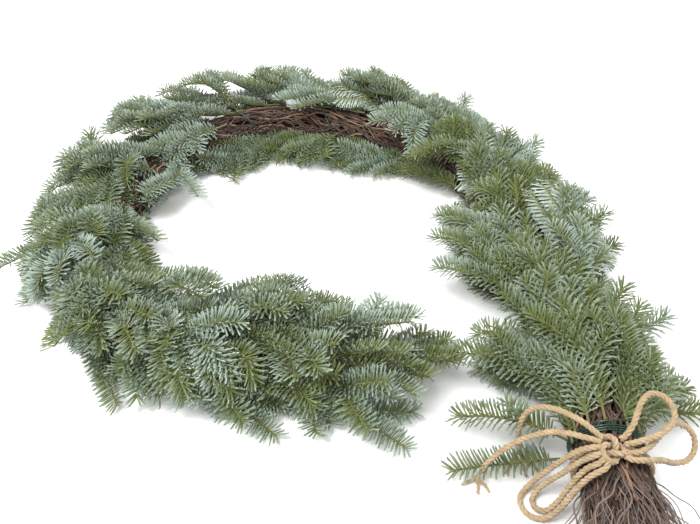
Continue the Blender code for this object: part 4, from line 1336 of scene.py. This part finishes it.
# Sprays that stand out of the outline: foot, tip, rise of the middle and paleness.
accents = {
    "floorSprayA": ((0.262, -0.292, 0.018), (0.139, -0.300, 0.007), 0.002, 0.35),
    "floorSprayB": ((0.262, -0.285, 0.034), (0.150, -0.246, 0.024), 0.014, 0.25),
    "floorSprayC": ((0.272, -0.215, 0.045), (0.145, -0.178, 0.044), 0.016, 0.30),
    "innerSprayA": ((0.262, -0.100, 0.046), (0.148, -0.034, 0.048), 0.010, 0.55),
    "innerSprayB": ((0.258, -0.060, 0.056), (0.150, 0.022, 0.052), 0.010, 0.30),
    "innerSprayC": ((0.250, -0.010, 0.052), (0.160, 0.066, 0.056), 0.010, 0.50),
    "innerSprayD": ((-0.205, -0.115, 0.070), (-0.128, -0.103, 0.092), 0.010, 0.50),
    "innerSprayE": ((-0.100, -0.160, 0.066), (-0.042, -0.132, 0.094), 0.012, 0.35),
    "leftSprayA": ((-0.330, 0.178, 0.045), (-0.396, 0.218, 0.050), 0.012, 0.40),
    "leftSprayB": ((-0.268, 0.290, 0.055), (-0.358, 0.352, 0.066), 0.012, 0.35),
    "farSprayA": ((-0.160, 0.352, 0.060), (-0.234, 0.404, 0.098), 0.006, 0.45),
    "farSprayB": ((0.120, 0.345, 0.055), (0.052, 0.425, 0.088), 0.012, 0.35),
    "farSprayC": ((0.160, 0.310, 0.058), (0.092, 0.398, 0.088), 0.012, 0.15),
    "rightSprayA": ((0.322, -0.288, 0.050), (0.370, -0.226, 0.066), 0.010, 0.40),
    "rightSprayB": ((0.296, 0.020, 0.058), (0.364, 0.076, 0.076), 0.010, 0.60),
    "crossSprayA": ((0.180, 0.288, 0.076), (0.103, 0.240, 0.088), 0.008, 0.95),
    "crossSprayB": ((0.218, 0.212, 0.078), (0.128, 0.184, 0.078), 0.010, 0.20),
    "underSprayA": ((0.016, 0.335, 0.030), (-0.044, 0.262, 0.018), 0.004, 0.30),
    "tipSprayA": ((0.000, -0.178, 0.062), (0.100, -0.134, 0.066), 0.012, 0.85),
    "tipSprayB": ((0.000, -0.190, 0.040), (0.096, -0.204, 0.032), 0.008, 0.75),
    "frontSprayA": ((-0.218, -0.136, 0.045), (-0.204, -0.218, 0.020), 0.008, 0.35),
}


def paleness(draw, s=1.0):
    # Most branches are olive, about a third show their wax, and fewer on the straight limb.
    less = 0.16 if s < 0.56 else 0.0
    return (draw.uniform(0.62, 0.98) if draw.random() < 0.36 else draw.uniform(-0.05, 0.52)) - less


def fillBranch(s, degrees, draw, layer=1.0):
    # A further branch wired in between the solids' own.
    _, forward, outside = coreFrame(s)
    out = swung(math.radians(degrees), upright, outside)
    if abs(degrees) > 90:
        out = math.copysign(1.0, degrees) * outside - upright * 0.25
    lean = math.radians(draw.uniform(*fill["lean"]) + fill["sideLean"] * min(abs(degrees) / 90, 1.0))
    flat = swung(math.radians(draw.uniform(*fill["yaw"])), forward, outside)
    goal = unit(swung(lean, flat, unit(out)))
    length = draw.uniform(*fill["length"])
    place = roundCore(s, degrees, coreRadius(s) + 0.004)
    heading = unit(forward)
    points = [place - forward * 0.020, place]
    run = 0.0
    slack = draw.uniform(*spray["slack"])
    while run < length:
        share = run / length
        ahead = unit(goal - upright * fill["droop"] * share * share)
        heading = unit(heading + (ahead - heading) * fill["turn"])
        if not grown(points, heading, fill["step"], layer, slack):
            break
        heading = unit(points[-1] - points[-2])
        run += fill["step"]
    return points


def solidSprays(draw):
    # The solids' own branches, on the twigs that are read back from them.
    for name in sorted(node for node in frame["nodes"] if node.startswith("fir_branch")):
        lines = cadBranch(name)
        up = upFor(lines[0], draw)
        shade = paleness(draw, 0.0 if lines[0][0][0] > 0.22 else 1.0)
        yield name, sprayLines(lines[0], lines[1:], up, shade, draw, forks["solid"])


def fillSprays(draw):
    # Branches in between, all along the core. Where it shows bare, they keep to its sides.
    low, high = fill["bareAngles"]
    stations = np.arange(fill["first"], coreLine.length - fill["last"], fill["pitch"])
    for index, s in enumerate(stations):
        degrees = fill["angles"][index % len(fill["angles"])] + draw.uniform(*fill["angleSlack"])
        if fill["bareFrom"] < s < fill["bareTo"] and low < degrees < high:
            degrees = draw.choice((draw.uniform(8.0, 100.0), draw.uniform(-118.0, -102.0)))
        layer = draw.uniform(*fill["layers"])
        points = fillBranch(s, degrees, draw, layer)
        up = upFor(points, draw, draw.random() < fill["flipped"])
        lines = sprayLines(points, [], up, paleness(draw, s), draw, forks["fill"], fill["bare"], layer)
        yield f"fillSpray{index + 1:02d}", lines


def singleSprays(draw):
    for name, (foot, tip, rise, shade) in accents.items():
        foot, tip, lift = np.array(foot), np.array(tip), upright * rise
        points = [foot, foot * 0.65 + tip * 0.35 + lift, foot * 0.3 + tip * 0.7 + lift, tip]
        points = list(Route(points, 6).spaced(0.012))
        up = upFor(points, draw)
        yield name, sprayLines(points, [], up, shade, draw, forks["single"], fill["bare"])


def topSprays(draw):
    for index, (s, degrees) in enumerate(topFill["places"]):
        layer = draw.uniform(*topFill["layers"])
        points = fillBranch(s, degrees, draw, layer)
        up = upFor(points, draw)
        lines = sprayLines(points, [], up, paleness(draw, s), draw, forks["top"], fill["bare"], layer)
        yield f"topSpray{index + 1:02d}", lines


def neckSprays(draw):
    for index, (degrees, layer) in enumerate(zip(neckFill["angles"], neckFill["layers"])):
        points = fillBranch(neckFill["start"] + 0.006 * (index % 3), degrees, draw, layer)
        shade = draw.uniform(*neckFill["shade"])
        up = upFor(points, draw)
        lines = sprayLines(points, [], up, shade, draw, forks["neck"], neckFill["bare"], layer)
        yield f"neckSpray{index + 1}", lines


def makeSprays(tree, shapes, needleMaterial, twigMaterial):
    draw = random.Random(spray["seed"])
    branches = list(solidSprays(draw))
    print("branches read from their solids:", len(branches))
    for kind in (fillSprays, singleSprays, topSprays, neckSprays):
        branches += kind(draw)
    shoots = [line["points"] for _, lines in branches for line in lines]
    length = sum(runAlong(points)[-1] for points in shoots)
    print(f"{len(branches)} branches, {len(shoots)} shoots, {length:.1f} m of twig")
    triangles = 0
    for index, (name, lines) in enumerate(branches):
        values = {"Needles": shapes, "Gap": needle["gap"], "Length": needle["length"],
                  "Sweep": math.radians(needle["sweep"]), "Needle finish": needleMaterial,
                  "Twig finish": twigMaterial, "Seed": index}
        isCad = name in frame["nodes"]
        pieceName = name.replace("fir_branch", "spray") if isCad else name
        piece = tree.applied(pieceName, lineMesh(name, lines), values)
        layOnFloor(piece)
        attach(piece, "root")
        if isCad:
            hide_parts(name)
        triangles += sum(len(face.vertices) - 2 for face in piece.data.polygons)
    print("spray triangles:", triangles)


def main():
    makeCamera()
    jute = juteFinish()
    makeRopes(jute)
    print("ropes done")
    makeStudio()
    strands = strandTree()
    makeCore(strands, vineFinish())
    makeWire(strands, wireFinish())
    print("core done")
    shapes = needleShapes()
    makeSprays(sprayTree(), shapes, needleFinish(), twigFinish())
    for shape in list(shapes.objects):
        bpy.data.objects.remove(shape)
    bpy.data.collections.remove(shapes)
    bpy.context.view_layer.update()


main()
